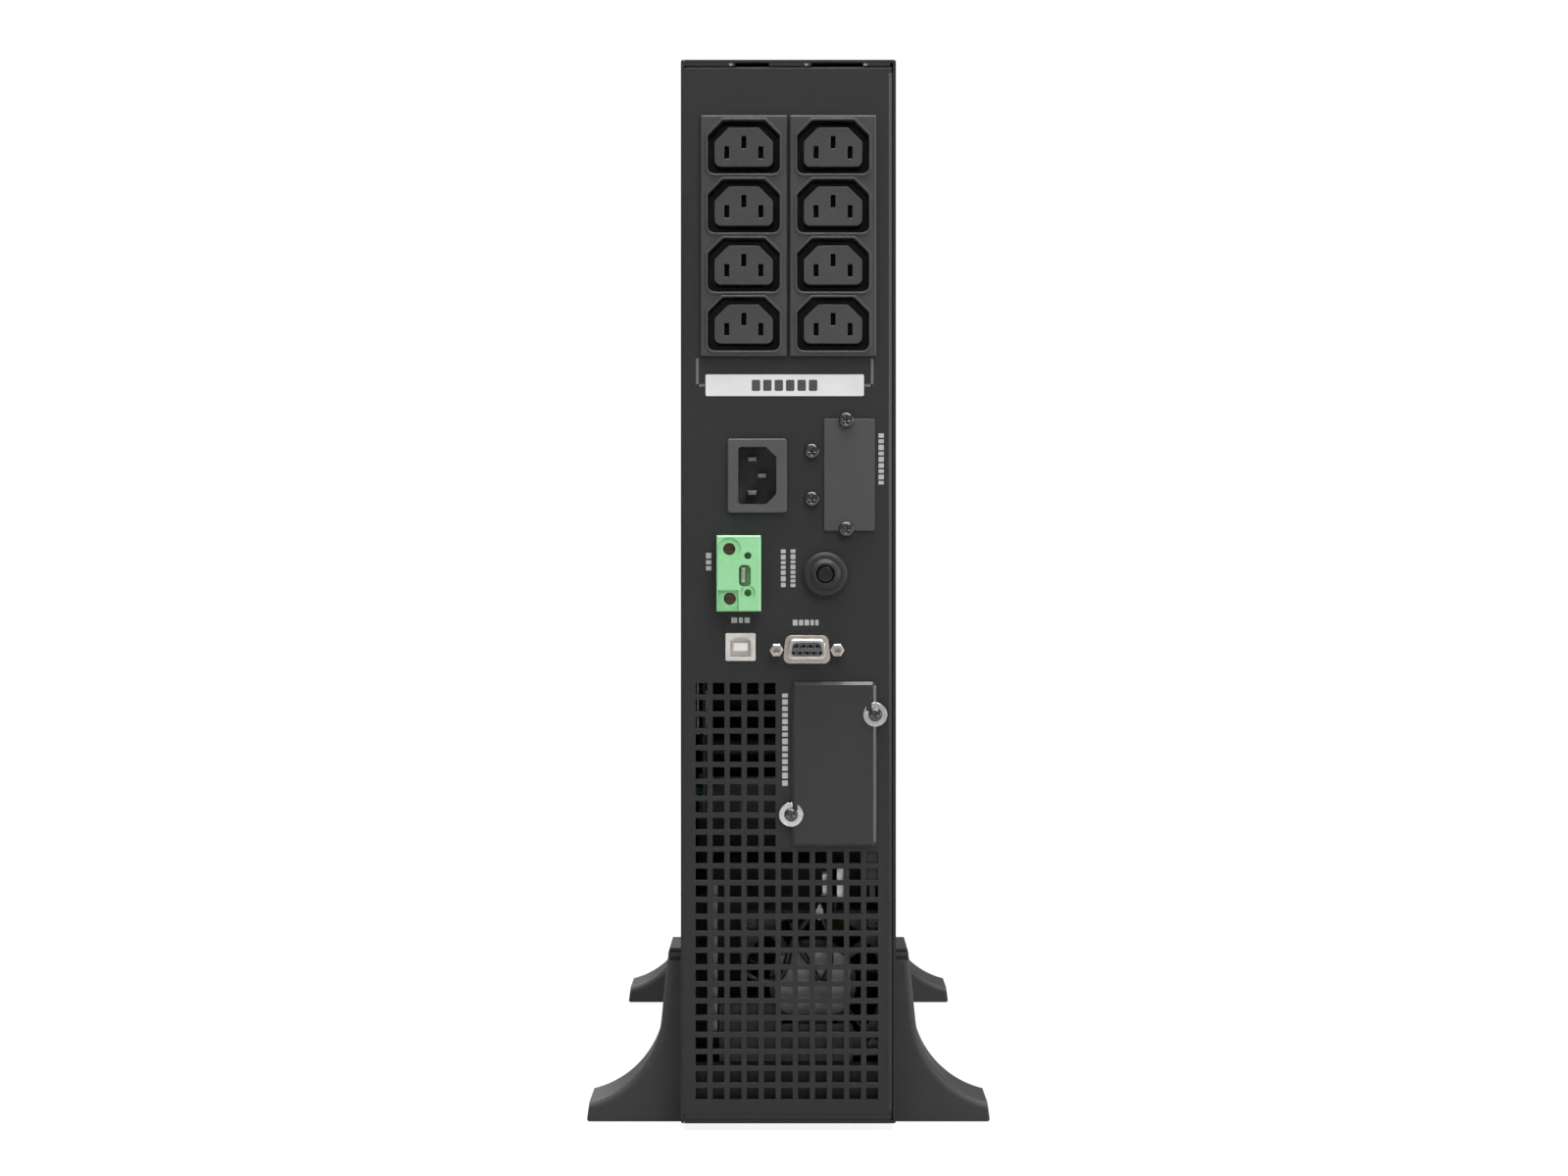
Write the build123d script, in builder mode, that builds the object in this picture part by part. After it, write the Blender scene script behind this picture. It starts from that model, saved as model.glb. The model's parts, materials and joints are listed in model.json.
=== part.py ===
from build123d import *
from math import cos, radians, sin
import os

# Two-unit rack or tower uninterruptible power supply, standing upright as a tower.
# Millimetres. The origin is on the floor under the middle of the bounding box, +Z is
# up, the rear panel with its sockets faces +Y and the moulded front faces -Y.

os.makedirs("parts", exist_ok=True)

# ---- driving dimensions -------------------------------------------------------
WIDTH = 88.6            # two rack units
HEIGHT = 438.0          # width of a rack chassis, upright here
DEPTH = 436.0           # front face to rear panel
BASE = 3.0              # foot plate under the body
SHEET = 1.2             # steel sheet
GAP = 0.2               # fit between sheets
PROUD = 9.0             # how far the emergency plug stands behind the rear panel
BEZEL_DEPTH = 38.0      # moulded front, face to chassis

SIDE = WIDTH / 2
TOP = BASE + HEIGHT
REAR = (DEPTH - PROUD) / 2
FRONT = REAR - DEPTH
CHASSIS_FRONT = FRONT + BEZEL_DEPTH

# Sketches on the rear plane read as seen from behind: x to the right, y up from the
# underside of the body. Sketches on the front plane read as seen from the front.
rear_plane = Plane(origin=(0, REAR, BASE), x_dir=(-1, 0, 0), z_dir=(0, 1, 0))
front_plane = Plane(origin=(0, FRONT, BASE), x_dir=(1, 0, 0), z_dir=(0, -1, 0))


def write(builder, name):
    """Label a finished piece and write it to its own file."""
    builder.part.label = name
    export_step(builder.part, f"parts/{name}.step")


def block(x_limits, y_limits, z_limits, mode=Mode.ADD):
    """A box between two limits along each axis."""
    limits = (x_limits, y_limits, z_limits)
    with Locations(tuple((low + high) / 2 for low, high in limits)):
        Box(*(high - low for low, high in limits), mode=mode)


def slab(plane, spots, width, height, amount, radius=0, mode=Mode.ADD):
    """Rectangles at spots of a plane, extruded by amount along its normal."""
    with BuildSketch(plane) as profile:
        with Locations(*spots):
            if radius:
                RectangleRounded(width, height, radius)
            else:
                Rectangle(width, height)
    extrude(profile.sketch, amount=amount, mode=mode)


def disc(plane, spots, diameter, amount, mode=Mode.ADD):
    """Discs at spots of a plane, extruded by amount along its normal."""
    with BuildSketch(plane) as profile:
        with Locations(*spots):
            Circle(diameter / 2)
    extrude(profile.sketch, amount=amount, mode=mode)


def copies(template, plane, spots, mode=Mode.ADD):
    """Copies of a finished solid, its own origin put at spots of a plane."""
    with Locations(*(plane.location * Location((*spot, 0)) for spot in spots)):
        add(template.part, mode=mode)


# ---- fastener templates, heads seated on their own XY plane --------------------
def pan_screw(head, head_height, shank, length, slot):
    """Cross-recessed pan-head screw with a domed head."""
    with BuildPart() as screw:
        Cylinder(head / 2, head_height, align=(Align.CENTER, Align.CENTER, Align.MIN))
        fillet(screw.faces().sort_by(Axis.Z)[-1].edges(), head_height * 0.6)
        Cylinder(shank / 2, length, align=(Align.CENTER, Align.CENTER, Align.MAX))
        recess = Plane.XY.offset(head_height)
        for width, height in ((slot, slot * 0.24), (slot * 0.24, slot)):
            slab(recess, [(0, 0)], width, height, -head_height * 0.45, mode=Mode.SUBTRACT)
    return screw


def flush_screw(head, shank, length, clearance=0.0):
    """Countersunk screw; with clearance it is the hole that the screw sits in."""
    with BuildPart() as screw:
        depth = (head - shank) / 2
        with Locations((0, 0, -depth)):
            Cone(shank / 2 + clearance, head / 2 + clearance, depth,
                 align=(Align.CENTER, Align.CENTER, Align.MIN))
        Cylinder(shank / 2 + clearance, length, align=(Align.CENTER, Align.CENTER, Align.MAX))
    return screw


black_screw = pan_screw(head=6.4, head_height=2.2, shank=3.0, length=6.0, slot=3.6)
cover_screw = flush_screw(head=6.0, shank=3.0, length=6.0)
cover_screw_hole = flush_screw(head=6.0, shank=3.0, length=6.0, clearance=0.1)

# ---- chassis -------------------------------------------------------------------
# The tray has its floor at +X and one wall above and one below. The cover is a U that
# closes the -X side, and its flanges lie over the walls of the tray.
WALL = SHEET + GAP                  # from the outside of the body to a tray wall
INNER_LOW = BASE + WALL + SHEET
INNER_HIGH = TOP - WALL - SHEET
BEND = 1.0
top_plane = Plane.XY.offset(TOP)
under_plane = Plane(origin=(0, 0, BASE), x_dir=(1, 0, 0), z_dir=(0, 0, -1))
COVER_SCREWS_Y = (-95.0, 30.0, 135.0)
EAR_X = 15.0                        # rack-ear holes, four above and four below
EAR_Y = (-138.0, -113.0)
EAR_HOLE = 4.0
TOP_NOTCHES = ((-30.5, -9.5), (8.0, 22.0))    # along X in the tray's rear upper edge
NOTCH_DEPTH = 9.0


def both_faces_cut():
    """Rack-ear and cover-screw holes in the upper and lower faces of the body."""
    deep = 2 * WALL + SHEET
    for plane, turn in ((top_plane, 1), (under_plane, -1)):
        ears = [(x, turn * y) for x in (-EAR_X, EAR_X) for y in EAR_Y]
        disc(plane, ears, EAR_HOLE, -deep, mode=Mode.SUBTRACT)
        screws = [(0, turn * y) for y in COVER_SCREWS_Y]
        copies(cover_screw_hole, plane, screws, mode=Mode.SUBTRACT)


with BuildPart() as chassis_tray:
    block((SIDE - SHEET, SIDE), (CHASSIS_FRONT, REAR), (BASE, TOP))
    fillet(chassis_tray.edges().filter_by(Axis.Y).group_by(Axis.X)[-1], BEND)
    for low in (BASE + WALL, INNER_HIGH):
        block((SHEET * 2 - SIDE, SIDE - SHEET), (CHASSIS_FRONT, REAR), (low, low + SHEET))
    both_faces_cut()
    for notch in TOP_NOTCHES:
        block(notch, (REAR - NOTCH_DEPTH, REAR), (INNER_HIGH, TOP - WALL), mode=Mode.SUBTRACT)
write(chassis_tray, "chassis_tray")

with BuildPart() as side_cover:
    block((-SIDE, SHEET - SIDE), (CHASSIS_FRONT, REAR), (BASE, TOP))
    fillet(side_cover.edges().filter_by(Axis.Y).group_by(Axis.X)[0], BEND)
    for low in (BASE, TOP - SHEET):
        block((SHEET - SIDE, SIDE - SHEET - GAP), (CHASSIS_FRONT, REAR), (low, low + SHEET))
    both_faces_cut()
write(side_cover, "side_cover")

with BuildPart() as cover_screws:
    copies(cover_screw, top_plane, [(0, y) for y in COVER_SCREWS_Y])
    copies(cover_screw, under_plane, [(0, -y) for y in COVER_SCREWS_Y])
write(cover_screws, "cover_screws")

# ---- rear panel ----------------------------------------------------------------
OUTLET_U = 18.35                    # two strips, left and right of the middle
OUTLET_V = [401.8 - 24.25 * i for i in range(4)]
STRIP_V = sum(OUTLET_V) / 4
INLET = (-12.8, 266.7)
PORT_COVER = (25.05, 267.05)
PORT_COVER_SIZE = (20.9, 46.2)
PORT_SCREWS = [(23.8, 289.6), (23.8, 244.7)]
LOOSE_SCREWS = [(9.7, 276.8), (9.7, 257.1)]
PLUG = (-20.3, 226.55)
PLUG_SIZE = (18.1, 31.1)
BREAKER = (15.2, 226.2)
USB = (-19.7, 196.2)
SERIAL = (7.6, 195.2)
JACKS = [(SERIAL[0] - 12.5, 195.0), (SERIAL[0] + 12.5, 195.0)]
SLOT = (18.7, 147.95)
SLOT_SIZE = (35.0, 68.0)
SLOT_SCREWS = [(35.7, 168.5), (1.1, 127.4)]
VENT_HOLE = 4.8
VENT_PITCH = (7.03, 6.95)
VENT_FIRST = (-35.8, 12.2)
VENT_FULL = (11, 15)                # columns and rows of the full-width field
VENT_TALL = (5, 10)                 # columns and rows beside the card slot
PANEL_FLANGE = 10.0
CUTS = (                            # openings behind the fitted parts: spot, width, height
    ((-OUTLET_U, STRIP_V), 31.4, 95.4),
    ((OUTLET_U, STRIP_V), 31.4, 95.4),
    (INLET, 20.4, 27.4),
    (PORT_COVER, 14.0, 32.0),
    (PLUG, 14.0, 24.0),
    (USB, 12.8, 11.8),
    (SLOT, 28.8, 63.0),
)
BREAKER_CUT = 13.0
SCREW_CUT = 3.2
JACK_CUT = 4.2


def vent_spots(columns, rows, first_row=0):
    """Centres of a field of vent holes, counted from the lower left one."""
    return [(VENT_FIRST[0] + column * VENT_PITCH[0], VENT_FIRST[1] + row * VENT_PITCH[1])
            for column in range(columns) for row in range(first_row, first_row + rows)]


def d_shape(width, height, radius, slant):
    """Outline of a D connector, wider at its lower edge."""
    with BuildSketch() as outline:
        with BuildLine():
            Polyline((-width / 2, -height / 2), (width / 2, -height / 2),
                     (width / 2 - slant, height / 2), (slant - width / 2, height / 2),
                     close=True)
        make_face()
        fillet(outline.vertices(), radius)
    return outline


serial_surround = d_shape(19.7, 11.6, 2.6, 1.2)

with BuildPart() as rear_panel:
    block((WALL - SIDE, SIDE - WALL), (REAR - PANEL_FLANGE, REAR),
          (INNER_LOW + GAP, INNER_HIGH - GAP))
    inner = WALL + SHEET
    block((inner - SIDE, SIDE - inner), (REAR - PANEL_FLANGE, REAR - SHEET),
          (INNER_LOW + inner, INNER_HIGH - inner), mode=Mode.SUBTRACT)
    fillet(rear_panel.faces().sort_by(Axis.Y)[-1].edges(), BEND)
    cut = {"amount": -2 * SHEET, "mode": Mode.SUBTRACT}
    slab(rear_plane, vent_spots(*VENT_FULL), VENT_HOLE, VENT_HOLE, **cut)
    slab(rear_plane, vent_spots(*VENT_TALL, first_row=VENT_FULL[1]), VENT_HOLE, VENT_HOLE, **cut)
    for spot, width, height in CUTS:
        slab(rear_plane, [spot], width, height, **cut)
    disc(rear_plane, [BREAKER], BREAKER_CUT, **cut)
    disc(rear_plane, PORT_SCREWS + LOOSE_SCREWS + SLOT_SCREWS, SCREW_CUT, **cut)
    disc(rear_plane, JACKS, JACK_CUT, **cut)
    with BuildSketch(rear_plane):
        with Locations(SERIAL):
            add(serial_surround.sketch)
    extrude(**cut)
write(rear_panel, "rear_panel")

# ---- outlets -------------------------------------------------------------------
STRIP_SIZE = (35.5, 99.0)
STRIP_PROUD = 2.0
RIM_PROUD = 0.7
GROOVE = (29.6, 22.1)
CORE = (24.0, 16.0)
CONTACTS = ((-7.0, -2.2), (0.0, 2.0), (7.0, -2.2))
CONTACT_SLOT = (2.0, 5.2)
GROOVE_DEPTH = 16.0
SLOT_DEPTH = 14.0
CONTACT = (1.2, 4.4, 6.0)
STRIP_BODY = (31.0, 95.0, 22.0)     # width, height and depth of its hidden body
UPPER_ROUND = 1.4                   # rounding at both ends of each cut corner


def outlet_shape(width, height, corner, radius):
    """Outline of an appliance outlet, with its two upper corners cut off."""
    with BuildSketch() as outline:
        Rectangle(width, height)
        chamfer(outline.vertices().group_by(Axis.Y)[-1], corner)
        fillet(outline.vertices().filter_by_position(Axis.Y, 0, height), UPPER_ROUND)
        fillet(outline.vertices().group_by(Axis.Y)[0], radius)
    return outline


groove_outer = outlet_shape(*GROOVE, 6.2, 3.0)
groove_core = outlet_shape(*CORE, 5.8, 2.6)
groove_rim = outlet_shape(GROOVE[0] + 1.8, GROOVE[1] + 1.6, 6.6, 3.6)


def outlet_strip(u):
    """One moulded strip of four outlets, centred at u on the rear panel."""
    face = rear_plane.offset(STRIP_PROUD)
    spots = [(u, v) for v in OUTLET_V]
    slots = [(u + du, v + dv) for v in OUTLET_V for du, dv in CONTACTS]
    with BuildPart() as strip:
        slab(rear_plane, [(u, STRIP_V)], *STRIP_SIZE, STRIP_PROUD)
        fillet(strip.faces().sort_by(Axis.Y)[-1].edges(), 0.6)
        slab(rear_plane, [(u, STRIP_V)], STRIP_BODY[0], STRIP_BODY[1], -STRIP_BODY[2])
        with BuildSketch(face):
            with Locations(*spots):
                add(groove_rim.sketch)
        extrude(amount=RIM_PROUD)
        with BuildSketch(face):
            with Locations(*spots):
                add(groove_outer.sketch)
        extrude(amount=RIM_PROUD, mode=Mode.SUBTRACT)
        with BuildSketch(face):
            with Locations(*spots):
                add(groove_outer.sketch)
                add(groove_core.sketch, mode=Mode.SUBTRACT)
        extrude(amount=-GROOVE_DEPTH, mode=Mode.SUBTRACT)
        slab(face, slots, *CONTACT_SLOT, -SLOT_DEPTH, mode=Mode.SUBTRACT)
    return strip


for side, name in ((-1, "outlet_strip_left"), (1, "outlet_strip_right")):
    write(outlet_strip(side * OUTLET_U), name)

with BuildPart() as outlet_contacts:
    for side in (-1, 1):
        for v in OUTLET_V:
            spots = [(side * OUTLET_U + du, v + dv) for du, dv in CONTACTS]
            slab(rear_plane.offset(STRIP_PROUD - SLOT_DEPTH), spots, *CONTACT)
write(outlet_contacts, "outlet_contacts")

# ---- mains inlet, turned a quarter, so its cut corners are on the right ---------
INLET_PROUD = 2.0
CAVITY = (15.7, 23.7)
CAVITY_DEPTH = 17.0
PIN = (4.0, 2.0)
PIN_SPOTS = [(-2.1, 7.0), (-2.1, -7.0), (1.9, 0.0)]
PIN_SET_BACK = 4.6

with BuildSketch() as cavity:
    Rectangle(*CAVITY)
    chamfer(cavity.vertices().group_by(Axis.X)[-1], 4.3)
    fillet(cavity.vertices().group_by(Axis.X)[0], 1.5)

with BuildPart() as inlet_housing:
    slab(rear_plane, [INLET], 24.4, 30.5, INLET_PROUD, radius=1.2)
    fillet(inlet_housing.faces().sort_by(Axis.Y)[-1].edges(), 0.6)
    slab(rear_plane, [INLET], 20.0, 27.0, -20.0)
    with BuildSketch(rear_plane.offset(INLET_PROUD)):
        with Locations(INLET):
            add(cavity.sketch)
    extrude(amount=-CAVITY_DEPTH, mode=Mode.SUBTRACT)
write(inlet_housing, "inlet_housing")

with BuildPart() as inlet_pins:
    floor = rear_plane.offset(INLET_PROUD - CAVITY_DEPTH)
    spots = [(INLET[0] + du, INLET[1] + dv) for du, dv in PIN_SPOTS]
    slab(floor, spots, *PIN, CAVITY_DEPTH - PIN_SET_BACK)
    chamfer(inlet_pins.faces().group_by(Axis.Y)[-1].edges(), 0.4)
write(inlet_pins, "inlet_pins")

# ---- external-battery port cover and the small black screws ---------------------
with BuildPart() as port_cover:
    slab(rear_plane, [PORT_COVER], *PORT_COVER_SIZE, SHEET, radius=0.8)
    fillet(port_cover.faces().sort_by(Axis.Y)[-1].edges(), 0.4)
    disc(rear_plane, PORT_SCREWS, 3.2, SHEET, mode=Mode.SUBTRACT)
write(port_cover, "battery_port_cover")

with BuildPart() as panel_screws:
    copies(black_screw, rear_plane.offset(SHEET), PORT_SCREWS)
    copies(black_screw, rear_plane, LOOSE_SCREWS)
write(panel_screws, "panel_screws")

# ---- emergency power-off header and its pluggable terminal block ----------------
PLUG_NOSE = (13.2, 23.2)
PLUG_DEPTH = 6.0
PLUG_SCREWS = [(-24.2, 236.5), (-24.0, 216.2)]
WIRE_HOLES = [(-16.6, 233.8), (-16.6, 218.6)]
LINK_RECESS = (-17.8, 225.6)
plug_face = rear_plane.offset(PROUD)

with BuildPart() as epo_socket:
    slab(rear_plane.offset(-SHEET), [PLUG], 17.0, 29.0, -11.0)
    slab(rear_plane.offset(-SHEET), [PLUG], 14.0, 24.0, -9.0, mode=Mode.SUBTRACT)
    pins = [(PLUG[0], PLUG[1] + dv) for dv in (-2.54, 2.54)]
    slab(rear_plane.offset(-SHEET - 9.0), pins, 1.0, 1.0, 2.4)
write(epo_socket, "epo_socket")

with BuildPart() as epo_plug:
    slab(rear_plane.offset(0.3), [PLUG], *PLUG_SIZE, PROUD - 0.3)
    chamfer(epo_plug.faces().sort_by(Axis.Y)[-1].edges(), 0.5)
    slab(rear_plane.offset(0.3), [PLUG], *PLUG_NOSE, -PLUG_DEPTH - 0.3)
    slab(plug_face, [(-24.6, 215.6)], 8.4, 8.2, -1.6, mode=Mode.SUBTRACT)
    disc(plug_face, PLUG_SCREWS[:1], 9.4, -0.7, mode=Mode.SUBTRACT)
    disc(plug_face, WIRE_HOLES[1:], 6.2, -0.7, mode=Mode.SUBTRACT)
    disc(plug_face, PLUG_SCREWS, 5.0, -4.0, mode=Mode.SUBTRACT)
    disc(plug_face, WIRE_HOLES, 2.9, -5.0, mode=Mode.SUBTRACT)
    slab(plug_face, [LINK_RECESS], 4.8, 8.8, -4.5, radius=1.8, mode=Mode.SUBTRACT)
write(epo_plug, "epo_plug")

with BuildPart() as epo_screws:
    disc(plug_face.offset(-4.0), PLUG_SCREWS, 4.6, 1.4)
    slab(plug_face.offset(-2.6), PLUG_SCREWS, 4.6, 0.9, -0.8, mode=Mode.SUBTRACT)
write(epo_screws, "epo_screws")

with BuildPart() as epo_link:
    slab(plug_face.offset(-4.5), [(LINK_RECESS[0] - 0.7, LINK_RECESS[1] + 0.4)], 2.3, 6.6, 3.6)
    fillet(epo_link.faces().sort_by(Axis.Y)[-1].edges(), 1.0)
write(epo_link, "epo_link")

# ---- thermal breaker ------------------------------------------------------------
BREAKER_NECK = 12.6
BREAKER_BORE = 7.6
BORE_DEPTH = 12.0
BREAKER_BUTTON = 7.0
BREAKER_NUT = (18.4, 3.6)
NECK_PROUD = 5.4
BUTTON_PROUD = 5.0

with BuildPart() as breaker_body:
    slab(rear_plane.offset(-SHEET), [BREAKER], 14.0, 22.0, -30.0, radius=1.5)
    disc(rear_plane.offset(-SHEET), [BREAKER], BREAKER_NECK, NECK_PROUD + SHEET)
    chamfer(breaker_body.faces().sort_by(Axis.Y)[-1].edges(), 1.6)
    disc(rear_plane.offset(NECK_PROUD), [BREAKER], BREAKER_BORE, -BORE_DEPTH, mode=Mode.SUBTRACT)
write(breaker_body, "breaker_body")

with BuildPart() as breaker_nut:
    disc(rear_plane, [BREAKER], BREAKER_NUT[0], BREAKER_NUT[1])
    fillet(breaker_nut.faces().sort_by(Axis.Y)[-1].edges(), 2.0)
    disc(rear_plane, [BREAKER], BREAKER_NECK + 0.04, BREAKER_NUT[1], mode=Mode.SUBTRACT)
write(breaker_nut, "breaker_nut")

with BuildPart() as breaker_button:
    disc(rear_plane.offset(BUTTON_PROUD), [BREAKER], BREAKER_BUTTON, 1.0 - BORE_DEPTH)
    fillet(breaker_button.faces().sort_by(Axis.Y)[-1].edges(), 0.9)
write(breaker_button, "breaker_button")

# ---- data ports -----------------------------------------------------------------
with BuildPart() as usb_shell:
    slab(rear_plane.offset(-14.0), [USB], 12.4, 11.4, 14.6, radius=0.6)
    with BuildSketch(rear_plane.offset(0.6)) as usb_mouth:
        with Locations(USB):
            Rectangle(8.6, 8.0)
        chamfer(usb_mouth.vertices().group_by(Axis.Y)[-1], 1.7)
    extrude(amount=-12.0, mode=Mode.SUBTRACT)
write(usb_shell, "usb_shell")

with BuildPart() as usb_tongue:
    slab(rear_plane.offset(-11.4), [USB], 6.1, 3.4, 10.8)
    fillet(usb_tongue.faces().sort_by(Axis.Y)[-1].edges(), 0.3)
write(usb_tongue, "usb_tongue")

SERIAL_PROUD = 5.0
serial_outer = d_shape(16.6, 8.6, 2.4, 0.9)
serial_inner = d_shape(13.4, 5.9, 1.8, 0.9)

with BuildPart() as serial_shell:
    slab(rear_plane.offset(-SHEET), [SERIAL], 30.8, 12.6, -0.8, radius=1.0)
    disc(rear_plane.offset(-SHEET), JACKS, 3.0, -0.8, mode=Mode.SUBTRACT)
    for outline, amount in ((serial_surround, 0.7 + SHEET), (serial_outer, SERIAL_PROUD + SHEET)):
        with BuildSketch(rear_plane.offset(-SHEET)):
            with Locations(SERIAL):
                add(outline.sketch)
        extrude(amount=amount)
    fillet(serial_shell.faces().sort_by(Axis.Y)[-1].edges(), 0.9)
    with BuildSketch(rear_plane.offset(SERIAL_PROUD)):
        with Locations(SERIAL):
            add(serial_inner.sketch)
    extrude(amount=-SERIAL_PROUD - SHEET - 0.8, mode=Mode.SUBTRACT)
write(serial_shell, "serial_shell")

with BuildPart() as serial_insert:
    with BuildSketch(rear_plane.offset(-SHEET - 8.0)):
        with Locations(SERIAL):
            add(serial_inner.sketch)
    extrude(amount=SERIAL_PROUD + SHEET + 8.0 - 0.4)
    upper = [(SERIAL[0] + 2.77 * (i - 1.5), SERIAL[1] + 1.42) for i in range(4)]
    lower = [(SERIAL[0] + 2.77 * (i - 2), SERIAL[1] - 1.42) for i in range(5)]
    disc(rear_plane.offset(SERIAL_PROUD), upper + lower, 1.3, -6.0, mode=Mode.SUBTRACT)
write(serial_insert, "serial_insert")

JACK_ACROSS = 5.0
with BuildPart() as jack_screws:
    with BuildSketch(rear_plane):
        with Locations(*JACKS):
            RegularPolygon(JACK_ACROSS / 2, 6, major_radius=False)
    extrude(amount=SERIAL_PROUD)
    disc(rear_plane, JACKS, 2.9, -6.0)
    chamfer(jack_screws.faces().group_by(Axis.Y)[-1].edges(), 0.5)
    disc(rear_plane.offset(SERIAL_PROUD), JACKS, 2.4, -5.0, mode=Mode.SUBTRACT)
write(jack_screws, "jack_screws")

# ---- communication-card slot ----------------------------------------------------
SLOT_PROUD = 2.2
WASHER = (9.8, 5.6, 1.0)
SPLITS = ((-2.6, 3.2), (1.6, 3.6))            # gap in each washer, from its middle

with BuildPart() as slot_cover:
    slab(rear_plane, [SLOT], *SLOT_SIZE, SLOT_PROUD, radius=2.4)
    chamfer(slot_cover.faces().sort_by(Axis.Y)[-1].edges(), 1.3)
    disc(rear_plane, SLOT_SCREWS, 3.4, SLOT_PROUD, mode=Mode.SUBTRACT)
write(slot_cover, "slot_cover")

with BuildPart() as slot_washers:
    disc(rear_plane.offset(SLOT_PROUD), SLOT_SCREWS, WASHER[0], WASHER[2])
    disc(rear_plane.offset(SLOT_PROUD), SLOT_SCREWS, WASHER[1], WASHER[2], mode=Mode.SUBTRACT)
    splits = [(u + du, v + dv) for (u, v), (du, dv) in zip(SLOT_SCREWS, SPLITS)]
    slab(rear_plane.offset(SLOT_PROUD), splits, 2.2, 4.0, WASHER[2], mode=Mode.SUBTRACT)
write(slot_washers, "slot_washers")

slot_screw = pan_screw(head=5.4, head_height=2.4, shank=3.0, length=8.0, slot=3.2)
with BuildPart() as slot_screws:
    copies(slot_screw, rear_plane.offset(SLOT_PROUD), SLOT_SCREWS)
write(slot_screws, "slot_screws")

CAGE = (30.4, 64.6, 108.0)
CAGE_WALL = 0.8
with BuildPart() as slot_cage:
    slab(rear_plane.offset(-SHEET), [SLOT], CAGE[0], CAGE[1], -CAGE[2])
    slab(rear_plane.offset(-SHEET), [SLOT], CAGE[0] - 2 * CAGE_WALL, CAGE[1] - 2 * CAGE_WALL,
         1.0 - CAGE[2], mode=Mode.SUBTRACT)
    rails = [(SLOT[0] - 13.4, SLOT[1] + dv) for dv in (-30.2, 30.2)]
    slab(rear_plane.offset(-SHEET - 4.0), rails, 2.0, 2.6, 12.0 - CAGE[2])
write(slot_cage, "slot_cage")

# ---- fan ------------------------------------------------------------------------
FAN = (10.0, 57.0)
FAN_SIZE = 60.0
FAN_DEPTH = 25.0
FAN_BEHIND = 6.0                    # from the rear panel's face to the fan
DUCT = 57.0
HUB = 36.0
FAN_SCREW = 25.0                    # screw spacing, half of it
SHAFT = 3.0
BLADES = 7
fan_plane = rear_plane.offset(-FAN_BEHIND)
fan_corners = [(FAN[0] + x, FAN[1] + y) for x in (-FAN_SCREW, FAN_SCREW)
               for y in (-FAN_SCREW, FAN_SCREW)]

with BuildPart() as fan_frame:
    slab(fan_plane, [FAN], FAN_SIZE, FAN_SIZE, -FAN_DEPTH, radius=4.0)
    disc(fan_plane, [FAN], DUCT, -FAN_DEPTH, mode=Mode.SUBTRACT)
    disc(fan_plane, fan_corners, 4.4, -FAN_DEPTH, mode=Mode.SUBTRACT)
    disc(fan_plane, [FAN], HUB, -2.4)
    with BuildSketch(fan_plane):
        with Locations(FAN):
            with PolarLocations(0, 4, start_angle=38):
                Rectangle(DUCT / 2 + 0.6, 3.2, align=(Align.MIN, Align.CENTER))
    extrude(amount=-2.4)
write(fan_frame, "fan_frame")

with BuildPart() as fan_stator:
    disc(fan_plane.offset(-2.4), [FAN], HUB - 5.6, -16.0)
    disc(fan_plane.offset(-2.4), [FAN], SHAFT + 0.1, -16.0, mode=Mode.SUBTRACT)
write(fan_stator, "fan_stator")

with BuildPart() as blade:
    for radius, pitch, chord in ((HUB / 2 - 0.6, 48, 14.0), (DUCT / 2 - 1.1, 62, 17.0)):
        chord_way = (0, cos(radians(pitch)), sin(radians(pitch)))
        with BuildSketch(Plane(origin=(radius, 0, 9.6), x_dir=chord_way, z_dir=(1, 0, 0))):
            RectangleRounded(chord, 1.5, 0.6)
    loft()

with BuildPart() as rotor_shape:
    Cylinder(HUB / 2, 18.4, align=(Align.CENTER, Align.CENTER, Align.MIN))
    fillet(rotor_shape.faces().sort_by(Axis.Z)[0].edges(), 1.6)
    with PolarLocations(0, BLADES):
        add(blade.part)
    with Locations((0, 0, 1.8)):
        Cylinder(HUB / 2 - 1.6, 20.0, align=(Align.CENTER, Align.CENTER, Align.MIN),
                 mode=Mode.SUBTRACT)
    Cylinder(SHAFT / 2, 17.0, align=(Align.CENTER, Align.CENTER, Align.MIN))

with BuildPart() as fan_rotor:
    copies(rotor_shape, fan_plane.offset(1.0 - FAN_DEPTH), [FAN])
write(fan_rotor, "fan_rotor")

# The fan bracket stands on the tray's floor, in front of the fan.
bracket_plane = fan_plane.offset(-FAN_DEPTH)
with BuildPart() as fan_bracket:
    foot_y = REAR - FAN_BEHIND - FAN_DEPTH
    bracket_z = (BASE + FAN[1] - 33.0, BASE + FAN[1] + 33.0)
    block((2 * SHEET - SIDE, SIDE - SHEET), (foot_y - SHEET, foot_y), bracket_z)
    block((SIDE - 2 * SHEET, SIDE - SHEET), (foot_y - 14.0, foot_y), bracket_z)
    disc(bracket_plane, [FAN], DUCT, -SHEET, mode=Mode.SUBTRACT)
    disc(bracket_plane, fan_corners, 3.2, -SHEET, mode=Mode.SUBTRACT)
write(fan_bracket, "fan_bracket")

fan_screw = pan_screw(head=6.4, head_height=2.0, shank=3.0, length=26.0, slot=3.2)
with BuildPart() as fan_screws:
    copies(fan_screw, fan_plane, fan_corners)
write(fan_screws, "fan_screws")

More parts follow.
